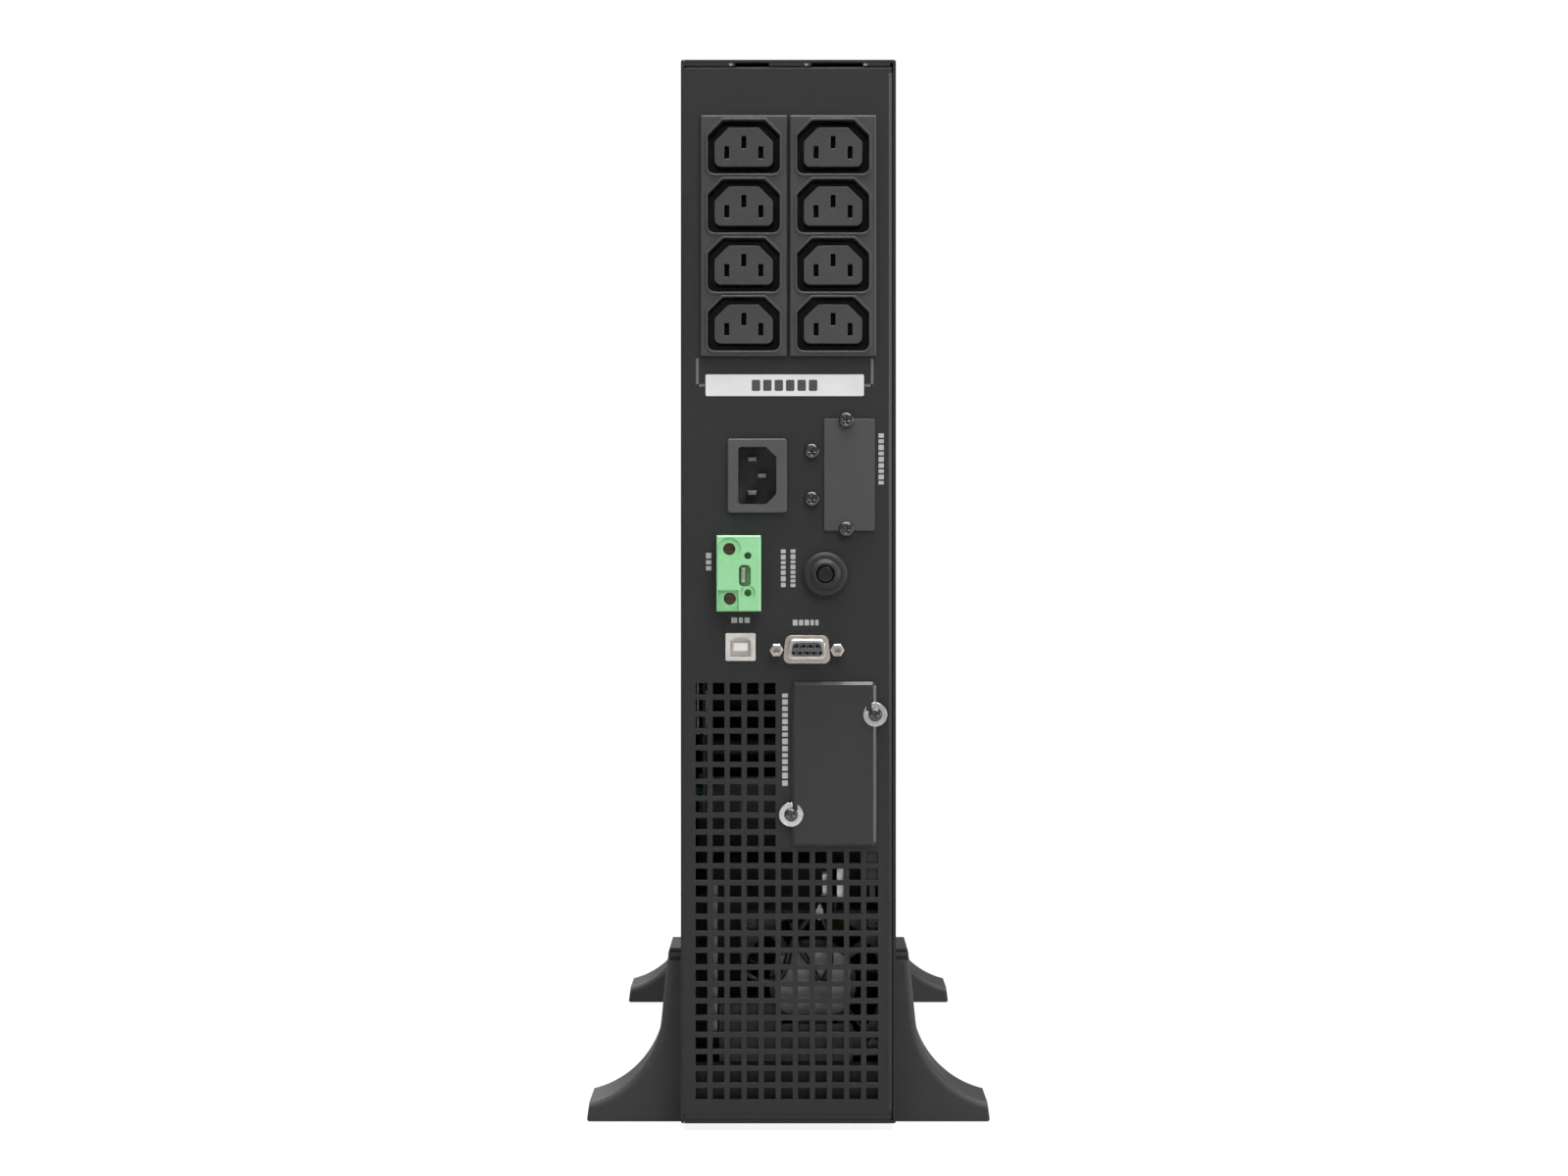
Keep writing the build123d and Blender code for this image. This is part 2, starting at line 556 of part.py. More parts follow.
# The fan's two wires rise from its upper edge to two slim white plug-and-socket pairs.
CONNECTORS = ((15.2, 98.6, 2.2, 7.4), (21.4, 98.8, 2.6, 11.6))    # spot, width, height
CONNECTOR_BEHIND = 2.6              # from the rear panel's face to the plugs
CONNECTOR_DEPTH = 12.0
WIRE = 1.8
WIRE_RUN = 2.0
with BuildPart() as fan_lead:
    for u, v, width, height in CONNECTORS:
        slab(rear_plane.offset(-CONNECTOR_BEHIND), [(u, v)], width, height, -CONNECTOR_DEPTH)
        wire_y = REAR - CONNECTOR_BEHIND - CONNECTOR_DEPTH / 2
        low = BASE + v - height / 2
        fan_top = BASE + FAN[1] + FAN_SIZE / 2
        route = [(-u, wire_y, low + WIRE_RUN), (-u, wire_y, low - WIRE_RUN / 2),
                 (WIRE_RUN - u, wire_y, (low + fan_top) / 2), (WIRE_RUN - u, wire_y, fan_top)]
        with BuildLine() as path:
            FilletPolyline(*route, radius=WIRE_RUN / 2)
        with BuildSketch(Plane(origin=path.line @ 0, z_dir=path.line % 0)):
            Circle(WIRE / 2)
        sweep(path=path.line)
write(fan_lead, "fan_lead")

# ---- electronics ----------------------------------------------------------------
BOARD_X = 35.0                      # component face of the main board
BOARD = 1.6
BOARD_Y = (12.0, 172.0)
BOARD_Z = (128.0, 430.0)
FLOOR_X = SIDE - SHEET              # inner face of the tray's floor
board_plane = Plane(origin=(BOARD_X, 0, 0), x_dir=(0, 1, 0), z_dir=(-1, 0, 0))


def on_board(y, z):
    """Local coordinates on the main board of a point given by y and z."""
    local = board_plane.to_local_coords(Vector(BOARD_X, y, z))
    return (local.X, local.Y)


STANDOFF_SPOTS = [on_board(y, z) for y in (20.0, 164.0) for z in (136.0, 280.0, 422.0)]
with BuildPart() as main_board:
    block((BOARD_X, BOARD_X + BOARD), BOARD_Y, BOARD_Z)
    disc(board_plane.offset(-BOARD), STANDOFF_SPOTS, 6.0, -(FLOOR_X - BOARD_X - BOARD))
write(main_board, "main_board")

CAPACITORS = [on_board(y, z) for y in (32.0, 68.0) for z in (150.0, 186.0)]
with BuildPart() as capacitors:
    disc(board_plane, CAPACITORS, 30.0, 45.0)
    fillet(capacitors.faces().group_by(Axis.X)[0].edges(), 2.0)
write(capacitors, "capacitors")

SINK_Z = (212.0, 262.0)
SINK_FINS = 6
with BuildPart() as heat_sinks:
    for z in SINK_Z:
        block((BOARD_X - 4.0, BOARD_X), (30.0, 150.0), (z, z + 34.0))
        for i in range(SINK_FINS):
            low = z + i * 6.4
            block((-28.0, BOARD_X), (30.0, 150.0), (low, low + 2.0))
write(heat_sinks, "heat_sinks")

# The transformer stands on the tray's floor ahead of the fan: an E-I core with its coil.
CORE_Y = (64.0, 130.0)
CORE_Z = (24.0, 100.0)
CORE_X = (-16.0, 34.0)
WINDOW = 13.0
with BuildPart() as transformer_core:
    block(CORE_X, CORE_Y, CORE_Z)
    for low in (CORE_Z[0] + 12.5, CORE_Z[1] - 12.5 - WINDOW):
        block(CORE_X, (CORE_Y[0] + 12.0, CORE_Y[1] - 12.0), (low, low + WINDOW),
              mode=Mode.SUBTRACT)
    for middle in (CORE_Y[0], CORE_Y[1]):
        block((CORE_X[1], FLOOR_X), (middle - 9.0, middle + 9.0), (42.0, 82.0))
write(transformer_core, "transformer_core")

with BuildPart() as transformer_coil:
    coil = (CORE_Z[0] + 13.5, CORE_Z[1] - 13.5)
    block((CORE_X[0] - 12.0, CORE_X[1] + 7.5), (CORE_Y[0] + 13.0, CORE_Y[1] - 13.0), coil)
    fillet(transformer_coil.edges().filter_by(Axis.Y), 6.0)
    leg = (CORE_Z[0] + 12.5 + WINDOW, CORE_Z[1] - 12.5 - WINDOW)
    block(CORE_X, CORE_Y, leg, mode=Mode.SUBTRACT)
write(transformer_coil, "transformer_coil")

# The interface board carries the data ports and the emergency header.
with BuildPart() as interface_board:
    board_y = (REAR - 16.6, REAR - 15.0)
    block((-26.0, 30.0), board_y, (188.0, 209.5))
    block((6.0, 30.0), board_y, (209.5, 246.0))
write(interface_board, "interface_board")

# ---- battery bay ----------------------------------------------------------------
BATTERIES = 3
BATTERY = (65.0, 151.0, 94.0)       # sealed lead-acid block: thickness, length, height
BATTERY_X = (-31.0, BATTERY[0] - 31.0)
BATTERY_Y = (-180.0, BATTERY[1] - 180.0)
BATTERY_FIRST = 11.5
BATTERY_PITCH = 101.5
DRAWER_X = (-33.0, 36.0)
DRAWER_Y = (CHASSIS_FRONT, -14.0)
DRAWER_Z = (9.0, 318.0)
BAY_TOP = 323.0
BAY_BACK = 4.0
DOOR = 1.5                          # drawer front plate
TRAY_SCREWS = [(-36.4, 40.0), (-36.4, 288.0)]
LATCHES = [(x, z) for x in (-38.4, 38.4) for z in (330.0, 431.0)]
TERMINAL_X = (-24.0, 27.0)
TERMINAL_Y = BATTERY_Y[1] - 8.0

with BuildPart() as front_frame:
    plate_y = (CHASSIS_FRONT, CHASSIS_FRONT + SHEET)
    block((2 * SHEET - SIDE, FLOOR_X), plate_y, (INNER_LOW, INNER_HIGH))
    block((DRAWER_X[0] - 1.0, DRAWER_X[1] + 1.0), plate_y, (DRAWER_Z[0] - 1.0, DRAWER_Z[1] + 1.0),
          mode=Mode.SUBTRACT)
    frame_face = Plane(origin=(0, CHASSIS_FRONT, 0), x_dir=(1, 0, 0), z_dir=(0, -1, 0))
    inlets = [(-30.0 + 7.5 * i, 366.0 + 7.5 * j) for i in range(9) for j in range(9)]
    slab(frame_face, inlets, 5.0, 5.0, -2 * SHEET, mode=Mode.SUBTRACT)
    slab(frame_face, LATCHES, 4.6, 8.0, -2 * SHEET, mode=Mode.SUBTRACT)
    disc(frame_face, TRAY_SCREWS, 3.2, -2 * SHEET, mode=Mode.SUBTRACT)
write(front_frame, "front_frame")

with BuildPart() as divider:
    block((2 * SHEET - SIDE, FLOOR_X), (CHASSIS_FRONT + SHEET, BAY_BACK), (BAY_TOP, BAY_TOP + SHEET))
    block((2 * SHEET - SIDE, FLOOR_X), (BAY_BACK - SHEET, BAY_BACK), (INNER_LOW, BAY_TOP))
write(divider, "divider")

with BuildPart() as battery_tray:
    block((DRAWER_X[1] - SHEET, DRAWER_X[1]), DRAWER_Y, DRAWER_Z)
    for low in (DRAWER_Z[0], DRAWER_Z[1] - SHEET):
        block((DRAWER_X[0] + 12.0, DRAWER_X[1]), DRAWER_Y, (low, low + SHEET))
    block((-39.0, 40.0), (CHASSIS_FRONT - DOOR, CHASSIS_FRONT), (6.2, 321.4))
    door_face = Plane(origin=(0, CHASSIS_FRONT - DOOR, 0), x_dir=(1, 0, 0), z_dir=(0, -1, 0))
    disc(door_face, TRAY_SCREWS, 3.4, -DOOR, mode=Mode.SUBTRACT)
    door_y = CHASSIS_FRONT - DOOR
    block((-18.0, 18.0), (door_y - 14.0, door_y), (170.5, 172.0))
write(battery_tray, "battery_tray")

battery_lows = [BATTERY_FIRST + i * BATTERY_PITCH for i in range(BATTERIES)]
with BuildPart() as batteries:
    for low in battery_lows:
        block(BATTERY_X, BATTERY_Y, (low, low + BATTERY[2]))
    fillet(batteries.edges().filter_by(Axis.Z), 2.0)
    for low in battery_lows:
        for x in TERMINAL_X:
            block((x - 3.2, x + 3.2), (TERMINAL_Y - 0.4, TERMINAL_Y + 0.4),
                  (low + BATTERY[2], low + BATTERY[2] + 5.8))
write(batteries, "batteries")

LEAD = 4.0
LEAD_Y = BATTERY_Y[1] + 5.0
DOCK = (1.5, 160.0)                 # x and z of the mating battery connectors


def lead(points):
    """A battery lead along straight runs joined by arcs."""
    with BuildLine() as path:
        FilletPolyline(*points, radius=4.5)
    with BuildSketch(Plane(origin=path.line @ 0, z_dir=path.line % 0)) as section:
        Circle(LEAD / 2)
    sweep(section.sketch, path=path.line)


with BuildPart() as battery_leads:
    tops = [low + BATTERY[2] + 3.6 for low in battery_lows]
    lead([(TERMINAL_X[1], TERMINAL_Y + 0.4, tops[0]), (TERMINAL_X[1], LEAD_Y, tops[0]),
          (TERMINAL_X[1] - 12, LEAD_Y, tops[0] + 50), (TERMINAL_X[0], LEAD_Y, tops[1]),
          (TERMINAL_X[0], TERMINAL_Y + 0.4, tops[1])])
    lead([(TERMINAL_X[1], TERMINAL_Y + 0.4, tops[1]), (TERMINAL_X[1], LEAD_Y, tops[1]),
          (TERMINAL_X[1] - 12, LEAD_Y, tops[1] + 50), (TERMINAL_X[0], LEAD_Y, tops[2]),
          (TERMINAL_X[0], TERMINAL_Y + 0.4, tops[2])])
write(battery_leads, "battery_leads")

with BuildPart() as battery_plug:
    plug_z = (DOCK[1] - 16.0, DOCK[1] + 16.0)
    block((DOCK[0] - 12.0, DOCK[0] + 12.0), (DRAWER_Y[1] - 8.0, DRAWER_Y[1] + 4.0), plug_z)
    block((DOCK[0] - 12.0, DRAWER_X[1] - SHEET), (DRAWER_Y[1] - 8.0, DRAWER_Y[1] - 5.0), plug_z)
    block((DOCK[0] - 7.0, DOCK[0] + 7.0), (DRAWER_Y[1] + 4.0, DRAWER_Y[1] + 12.0),
          (DOCK[1] - 11.0, DOCK[1] + 11.0))
write(battery_plug, "battery_plug")

with BuildPart() as battery_socket:
    socket_y = (DRAWER_Y[1] + 4.5, BAY_BACK - SHEET)
    block((DOCK[0] - 12.0, DOCK[0] + 12.0), socket_y, plug_z)
    block((DOCK[0] - 7.5, DOCK[0] + 7.5), (socket_y[0], DRAWER_Y[1] + 12.6),
          (DOCK[1] - 11.5, DOCK[1] + 11.5), mode=Mode.SUBTRACT)
write(battery_socket, "battery_socket")

thumb_screw = pan_screw(head=5.0, head_height=3.0, shank=3.0, length=4.0, slot=3.0)
with BuildPart() as tray_screws:
    copies(thumb_screw, door_face, TRAY_SCREWS)
write(tray_screws, "tray_screws")

# ---- moulded front --------------------------------------------------------------
WALL_THICK = 2.2
DISPLAY = (0.0, 350.0)              # centre of the turning display, above the base
TURNTABLE = 68.0
TURN_GAP = 0.4
GRILLES = ((150.0, 262.0), (408.0, 28.0))     # centre and height of each window
GRILLE_WIDTH = 66.0
LOUVRE_PITCH = 7.0
LOUVRE = 2.4
front_spot = [(DISPLAY[0], DISPLAY[1])]

with BuildPart() as front_bezel:
    rear_rim = CHASSIS_FRONT - 0.4
    block((-SIDE, SIDE), (FRONT, rear_rim), (BASE, TOP))
    fillet(front_bezel.edges().filter_by(Axis.Z).group_by(Axis.Y)[0], 6.0)
    fillet(front_bezel.faces().sort_by(Axis.Y)[0].edges(), 1.5)
    block((WALL_THICK - SIDE, SIDE - WALL_THICK), (FRONT + 3.0, rear_rim),
          (BASE + WALL_THICK, TOP - WALL_THICK), mode=Mode.SUBTRACT)
    disc(front_plane, front_spot, TURNTABLE + 2 * TURN_GAP, -6.0, mode=Mode.SUBTRACT)
    for middle, height in GRILLES:
        slab(front_plane, [(0, middle)], GRILLE_WIDTH, height, -6.0, radius=4.0,
             mode=Mode.SUBTRACT)
    post_plane = Plane(origin=(0, FRONT + 3.0, 0), x_dir=(1, 0, 0), z_dir=(0, -1, 0))
    slab(post_plane, LATCHES, 3.6, 6.4, -BEZEL_DEPTH)
write(front_bezel, "front_bezel")

with BuildPart() as bezel_grille:
    for middle, height in GRILLES:
        grille_plane = front_plane.offset(-3.0)
        slab(grille_plane, [(0, middle)], GRILLE_WIDTH + 8.0, height + 6.0, -1.6, radius=3.0)
        slab(grille_plane, [(0, middle)], GRILLE_WIDTH - 4.0, height - 4.0, -1.6,
             mode=Mode.SUBTRACT)
        count = int((height - 4.0) / LOUVRE_PITCH)
        spots = [(0, middle + (i - (count - 1) / 2) * LOUVRE_PITCH) for i in range(count)]
        slab(front_plane.offset(-1.2), spots, GRILLE_WIDTH - 4.0, LOUVRE, -3.4)
write(bezel_grille, "bezel_grille")

BUTTON = 7.0
BUTTON_GAP = 0.35
BUTTON_SPOTS = [(-14.0, -20.0), (0.0, -20.0), (14.0, -20.0)]
BUTTON_NAMES = ("on_button", "off_button", "select_button")
GLASS = (48.0, 30.0)
GLASS_SPOT = (DISPLAY[0], DISPLAY[1] + 6.0)
face_plane = front_plane.offset(-1.5)
button_spots = [(DISPLAY[0] + x, DISPLAY[1] + y) for x, y in BUTTON_SPOTS]

with BuildPart() as display_housing:
    disc(face_plane, front_spot, TURNTABLE, -14.0)
    chamfer(display_housing.faces().sort_by(Axis.Y)[0].edges(), 0.8)
    disc(front_plane.offset(-3.0 - TURN_GAP), front_spot, TURNTABLE + 6.0, -1.6)
    disc(face_plane.offset(-2.5), front_spot, TURNTABLE - 5.0, -9.5, mode=Mode.SUBTRACT)
    slab(face_plane, [GLASS_SPOT], *GLASS, -2.5, radius=1.5, mode=Mode.SUBTRACT)
    disc(face_plane, button_spots, BUTTON + 2 * BUTTON_GAP, -2.5, mode=Mode.SUBTRACT)
write(display_housing, "display_housing")

with BuildPart() as display_window:
    slab(face_plane.offset(-0.2), [GLASS_SPOT], GLASS[0] - 0.1, GLASS[1] - 0.1, -1.2, radius=1.4)
write(display_window, "display_window")

with BuildPart() as display_panel:
    slab(face_plane.offset(-1.5), [GLASS_SPOT], GLASS[0] - 2.0, GLASS[1] - 2.0, -3.0)
write(display_panel, "display_panel")

for spot, name in zip(button_spots, BUTTON_NAMES):
    with BuildPart() as button:
        disc(face_plane.offset(1.0), [spot], BUTTON, -4.2)
        fillet(button.faces().sort_by(Axis.Y)[0].edges(), 0.8)
        disc(face_plane.offset(-2.9), [spot], BUTTON + 2.4, -0.8)
    write(button, name)

# ---- tower feet -----------------------------------------------------------------
FOOT_DEPTH = 38.0
FOOT_BACK = REAR - 18.0             # rear face of the rear pair
FOOT_PITCH = 340.0
PAD = 0.5                           # how far the pads stand out under the feet
foot_tops = {"rear": FOOT_BACK, "front": FOOT_BACK - FOOT_PITCH}
PAD_SPOTS = ((22.0, 30.0), (69.0, 20.0))      # distance from the middle and width

SHOULDER = (50.7, 67.7)             # top of the leg's face
LEG_OUT = (53.1, 43.0)              # where the leg starts to flare
TOE = (83.2, 8.3)                   # top of the toe
TOE_SLOPE = 1.0                     # how much further out the toe's lower corner is
TIP_ROUND = 1.0
EDGE_ROUND = 3.0
# Bands above the shoulder: how far their ends are set back, their top and outer side.
LEG_BANDS = ((1.2, 69.3, 50.0), (0.3, 70.9, 50.2), (1.4, 71.9, 49.8), (0.8, 72.9, 49.6))
PAD_INSET = 5.0


def foot(side, back):
    """One half of a stand: a base under the body and a flared leg beside it."""
    plane = Plane(origin=(0, back, 0), x_dir=(side, 0, 0), z_dir=(0, -side, 0))
    with BuildPart() as half:
        with BuildSketch(plane) as outline:
            with BuildLine():
                Polyline(TOE, (TOE[0] + TOE_SLOPE, PAD), (GAP / 2, PAD), (GAP / 2, BASE),
                         (SIDE + GAP, BASE), (SIDE + GAP, SHOULDER[1]), SHOULDER, LEG_OUT)
                TangentArc(LEG_OUT, TOE, tangent=Vector(*LEG_OUT) - Vector(*SHOULDER))
            make_face()
            fillet(outline.vertices().sort_by(Axis.X)[-1:], TIP_ROUND)
        extrude(amount=side * FOOT_DEPTH)
        ends = half.faces().sort_by(Axis.Y)
        fillet([edge for face in (ends[0], ends[-1]) for edge in face.edges()
                if SHOULDER[0] < abs(edge.center().X) < TOE[0] and edge.center().Z > BASE],
               EDGE_ROUND)
        low = SHOULDER[1]
        for inset, high, out in LEG_BANDS:
            block(sorted((side * (SIDE + GAP), side * out)),
                  (back - FOOT_DEPTH + inset, back - inset), (low, high))
            low = high
        for middle, width in PAD_SPOTS:
            block((side * middle - width / 2, side * middle + width / 2),
                  (back - FOOT_DEPTH + PAD_INSET, back - PAD_INSET), (PAD, 2 * PAD),
                  mode=Mode.SUBTRACT)
    return half


for place, back in foot_tops.items():
    write(foot(-1, back), f"foot_{place}_right")
    write(foot(1, back), f"foot_{place}_left")

with BuildPart() as foot_pads:
    for back in foot_tops.values():
        for side in (-1, 1):
            for middle, width in PAD_SPOTS:
                block((side * middle - width / 2, side * middle + width / 2),
                      (back - FOOT_DEPTH + PAD_INSET, back - PAD_INSET), (0, 2 * PAD))
write(foot_pads, "foot_pads")
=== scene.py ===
import json
import math
import random

import bmesh
import bpy
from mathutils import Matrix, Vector


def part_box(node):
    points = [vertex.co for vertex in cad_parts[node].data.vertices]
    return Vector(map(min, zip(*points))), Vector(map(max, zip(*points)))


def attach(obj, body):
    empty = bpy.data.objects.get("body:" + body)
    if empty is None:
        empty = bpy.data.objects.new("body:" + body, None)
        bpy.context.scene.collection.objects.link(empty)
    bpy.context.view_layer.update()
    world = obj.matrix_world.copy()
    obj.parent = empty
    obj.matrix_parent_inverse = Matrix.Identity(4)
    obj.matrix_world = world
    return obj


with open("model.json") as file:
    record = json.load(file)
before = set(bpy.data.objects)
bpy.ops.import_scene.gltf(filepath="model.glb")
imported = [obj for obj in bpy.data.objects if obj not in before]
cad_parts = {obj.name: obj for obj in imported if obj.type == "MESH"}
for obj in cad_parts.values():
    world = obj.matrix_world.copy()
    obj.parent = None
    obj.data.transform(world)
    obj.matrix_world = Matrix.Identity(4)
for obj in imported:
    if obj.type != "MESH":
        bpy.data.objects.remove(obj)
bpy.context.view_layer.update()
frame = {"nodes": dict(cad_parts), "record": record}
random.seed(7)

# ---- places, all worked out from the frame ---------------------------------------
MM = 0.001
REAR_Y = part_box("rear_panel")[1][1]
FRONT_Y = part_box("front_bezel")[0][1]
BASE_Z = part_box("chassis_tray")[0][2]
SIDE_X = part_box("side_cover")[0][0]


def rear_point(u, v, out=0.0):
    """A point in millimetres right of the middle, above the body's underside and out of
    the rear panel, as seen from behind."""
    return Vector((-u * MM, REAR_Y + out * MM, BASE_Z + v * MM))


def front_point(u, v, out=0.0):
    """The same from the front: right, up and out of the moulded front."""
    return Vector((u * MM, FRONT_Y - out * MM, BASE_Z + v * MM))


def side_point(w, v, out=0.0):
    """A point on the side cover: millimetres ahead of the rear panel, up and outward."""
    return Vector((SIDE_X - out * MM, REAR_Y - w * MM, BASE_Z + v * MM))


def middle(node, front=False):
    """The middle of a node's box as (u, v), from behind or from the front."""
    low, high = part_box(node)
    across = (low[0] + high[0]) / 2 / MM
    return (across if front else -across), ((low[2] + high[2]) / 2 - BASE_Z) / MM


def outward(y):
    """How far out of the rear panel a place is, in millimetres."""
    return (y - REAR_Y) / MM


# ---- camera ----------------------------------------------------------------------
CAMERA_HEIGHT = 0.240       # metres above the floor
CAMERA_BACK = 1.277         # metres behind the rear panel
SENSOR_WIDTH = 36.0         # millimetres, as is the lens
LENS = 71.2
SHIFT = (-0.0028, -0.0256)  # moves the picture, not the view, to frame the unit

camera_data = bpy.data.cameras.new("camera")
camera = bpy.data.objects.new("camera", camera_data)
bpy.context.collection.objects.link(camera)
camera.location = (0.0, REAR_Y + CAMERA_BACK, CAMERA_HEIGHT)
camera.rotation_euler = (math.radians(90), 0.0, math.radians(180))
camera_data.sensor_width = SENSOR_WIDTH
camera_data.lens = LENS
camera_data.shift_x, camera_data.shift_y = SHIFT
camera_data.clip_start = 0.05
bpy.context.scene.camera = camera


# ---- materials -------------------------------------------------------------------
class Nodes:
    """Short names for building one node material."""

    def __init__(self, name):
        self.material = bpy.data.materials.new(name)
        self.material.use_nodes = True
        self.tree = self.material.node_tree
        self.shader = self.tree.nodes["Principled BSDF"]
        self.place = self.add("ShaderNodeTexCoord").outputs["Object"]

    def add(self, kind, **settings):
        node = self.tree.nodes.new(kind)
        for key, value in settings.items():
            setattr(node, key, value)
        return node

    def link(self, source, target):
        self.tree.links.new(source, target)

    def noise(self, scale, detail, stretch=None):
        """Noise over the object's own metres, as a value from 0 to 1."""
        node = self.add("ShaderNodeTexNoise")
        node.inputs["Scale"].default_value = scale
        node.inputs["Detail"].default_value = detail
        node.inputs["Roughness"].default_value = 0.55
        source = self.place
        if stretch:
            mapping = self.add("ShaderNodeMapping")
            mapping.inputs["Scale"].default_value = stretch
            self.link(source, mapping.inputs["Vector"])
            source = mapping.outputs["Vector"]
        self.link(source, node.inputs["Vector"])
        return node.outputs["Fac"]

    def span(self, value, low, high, from_low=0.3, from_high=0.7):
        """A value brought from one range to another."""
        node = self.add("ShaderNodeMapRange")
        node.inputs["From Min"].default_value = from_low
        node.inputs["From Max"].default_value = from_high
        node.inputs["To Min"].default_value = low
        node.inputs["To Max"].default_value = high
        self.link(value, node.inputs["Value"])
        return node.outputs["Result"]

    def mix(self, factor, first, second):
        """A colour between two, each a socket or three numbers."""
        node = self.add("ShaderNodeMix", data_type="RGBA")
        for source, socket in ((factor, node.inputs[0]), (first, node.inputs[6]),
                               (second, node.inputs[7])):
            if isinstance(source, tuple):
                socket.default_value = (*source, 1.0)
            else:
                self.link(source, socket)
        return node.outputs[2]

    def math(self, operation, first, second):
        """One sum on two values, each a socket or a number."""
        node = self.add("ShaderNodeMath", operation=operation)
        for source, socket in ((first, node.inputs[0]), (second, node.inputs[1])):
            if isinstance(source, (int, float)):
                socket.default_value = source
            else:
                self.link(source, socket)
        return node.outputs[0]

    def edges(self, radius):
        """The rounded normal, and how far it turns from the flat one."""
        bevel = self.add("ShaderNodeBevel", samples=4)
        bevel.inputs["Radius"].default_value = radius
        flat = self.add("ShaderNodeNewGeometry").outputs["Normal"]
        dot = self.add("ShaderNodeVectorMath", operation="DOT_PRODUCT")
        self.link(bevel.outputs["Normal"], dot.inputs[0])
        self.link(flat, dot.inputs[1])
        return bevel.outputs["Normal"], self.math("SUBTRACT", 1.0, dot.outputs["Value"])

    def bump(self, height, distance, normal=None):
        """A normal roughened by a height, over a distance in metres."""
        node = self.add("ShaderNodeBump")
        node.inputs["Distance"].default_value = distance
        node.inputs["Strength"].default_value = 1.0
        self.link(height, node.inputs["Height"])
        if normal:
            self.link(normal, node.inputs["Normal"])
        return node.outputs["Normal"]


def shade(colour, factor):
    """A colour made darker or lighter."""
    return tuple(min(1.0, channel * factor) for channel in colour)


DUST = (0.42, 0.40, 0.37)


def surface(name, colour, rough, metal=0.0, grain=1400.0, depth=0.00003, stretch=None,
            patch=18.0, vary=0.12, rim=0.0003, wear=None, dust=0.06):
    """A finish with fine grain in its bump, slow changes of tone and of gloss, rounded
    edges in a lighter colour that is wear on most finishes and a painted highlight on the slot
    cover, and a little dust on what faces up."""
    n = Nodes(name)
    slow = n.noise(patch, detail=4.0)
    fine = n.noise(grain, detail=2.0, stretch=stretch)
    tone = n.mix(n.span(slow, 0.0, 1.0), shade(colour, 1.0 - vary), shade(colour, 1.0 + vary))
    speck = n.mix(n.span(fine, 0.0, 0.5), tone, shade(colour, 1.0 + 2.2 * vary))
    normal, turn = n.edges(rim)
    # edges take a lighter colour: wear on most finishes, a painted highlight on the slot cover's
    # bevels
    scuffed_and_highlit = n.span(turn, 0.0, 0.75, 0.02, 0.25)
    broken = n.math("MULTIPLY", scuffed_and_highlit, n.span(n.noise(160.0, detail=5.0), 0.25, 1.0))
    body = n.mix(broken, speck, wear or shade(colour, 1.9))
    up = n.add("ShaderNodeSeparateXYZ")
    n.link(n.add("ShaderNodeNewGeometry").outputs["Normal"], up.inputs[0])
    settled = n.math("MULTIPLY", n.span(up.outputs["Z"], 0.0, dust, 0.6, 1.0),
                     n.span(n.noise(70.0, detail=6.0), 0.3, 1.0))
    n.link(n.mix(settled, body, DUST), n.shader.inputs["Base Color"])
    matt = n.math("ADD", n.span(slow, rough - 0.05, rough + 0.05), n.span(fine, -0.03, 0.04))
    n.link(matt, n.shader.inputs["Roughness"])
    n.shader.inputs["Metallic"].default_value = metal
    n.link(n.bump(fine, depth, normal=normal), n.shader.inputs["Normal"])
    return n.material


def moulded(name, colour, rough, gloss, **settings):
    """Moulded plastic with its own specular level."""
    material = surface(name, colour, rough, **settings)
    material.node_tree.nodes["Principled BSDF"].inputs["Specular IOR Level"].default_value = gloss
    return material


def powder(name, colour, rough=0.55, gloss=0.34, wear=None):
    """Fine matt powder coat on steel sheet."""
    return moulded(name, colour, rough, gloss, grain=1500.0, depth=0.00005, patch=9.0,
                   vary=0.08, wear=wear)


def plated(name, colour, rough, stretch=(1.0, 1.0, 1.0)):
    """Plated or brushed metal, with fine lines and faint stains."""
    return surface(name, colour, rough, metal=1.0, grain=700.0, depth=0.000012, stretch=stretch,
                   patch=90.0, vary=0.10, wear=shade(colour, 1.2), dust=0.02)


def glass(name, colour):
    """Tinted clear window with a little wear in its gloss."""
    n = Nodes(name)
    slow = n.noise(60.0, detail=5.0)
    tint = n.mix(n.span(slow, 0.0, 1.0), colour, shade(colour, 1.15))
    n.link(tint, n.shader.inputs["Base Color"])
    n.link(n.span(slow, 0.04, 0.09), n.shader.inputs["Roughness"])
    n.shader.inputs["Transmission Weight"].default_value = 0.9
    n.shader.inputs["IOR"].default_value = 1.46
    return n.material


def printed(name, colour, rough=0.5):
    """Screen-printed ink or a label's face, slightly uneven."""
    return surface(name, colour, rough, grain=2600.0, depth=0.000008, patch=120.0, vary=0.05,
                   rim=0.0001, dust=0.0)


def two_part(name, lower, upper, level, blend=0.0001, rough=0.4):
    """One finish below a height and another above it, with a blend between them."""
    material = surface(name, upper, rough)
    tree = material.node_tree
    shader = tree.nodes["Principled BSDF"]
    above = shader.inputs["Base Color"].links[0].from_socket
    split = tree.nodes.new("ShaderNodeSeparateXYZ")
    tree.links.new(tree.nodes["Texture Coordinate"].outputs["Object"], split.inputs[0])
    step = tree.nodes.new("ShaderNodeMapRange")
    step.inputs["From Min"].default_value = level - blend / 2
    step.inputs["From Max"].default_value = level + blend / 2
    tree.links.new(split.outputs["Z"], step.inputs["Value"])
    mix = tree.nodes.new("ShaderNodeMix")
    mix.data_type = "RGBA"
    mix.inputs[6].default_value = (*lower, 1.0)
    tree.links.new(step.outputs["Result"], mix.inputs[0])
    tree.links.new(above, mix.inputs[7])
    tree.links.new(mix.outputs[2], shader.inputs["Base Color"])
    return material


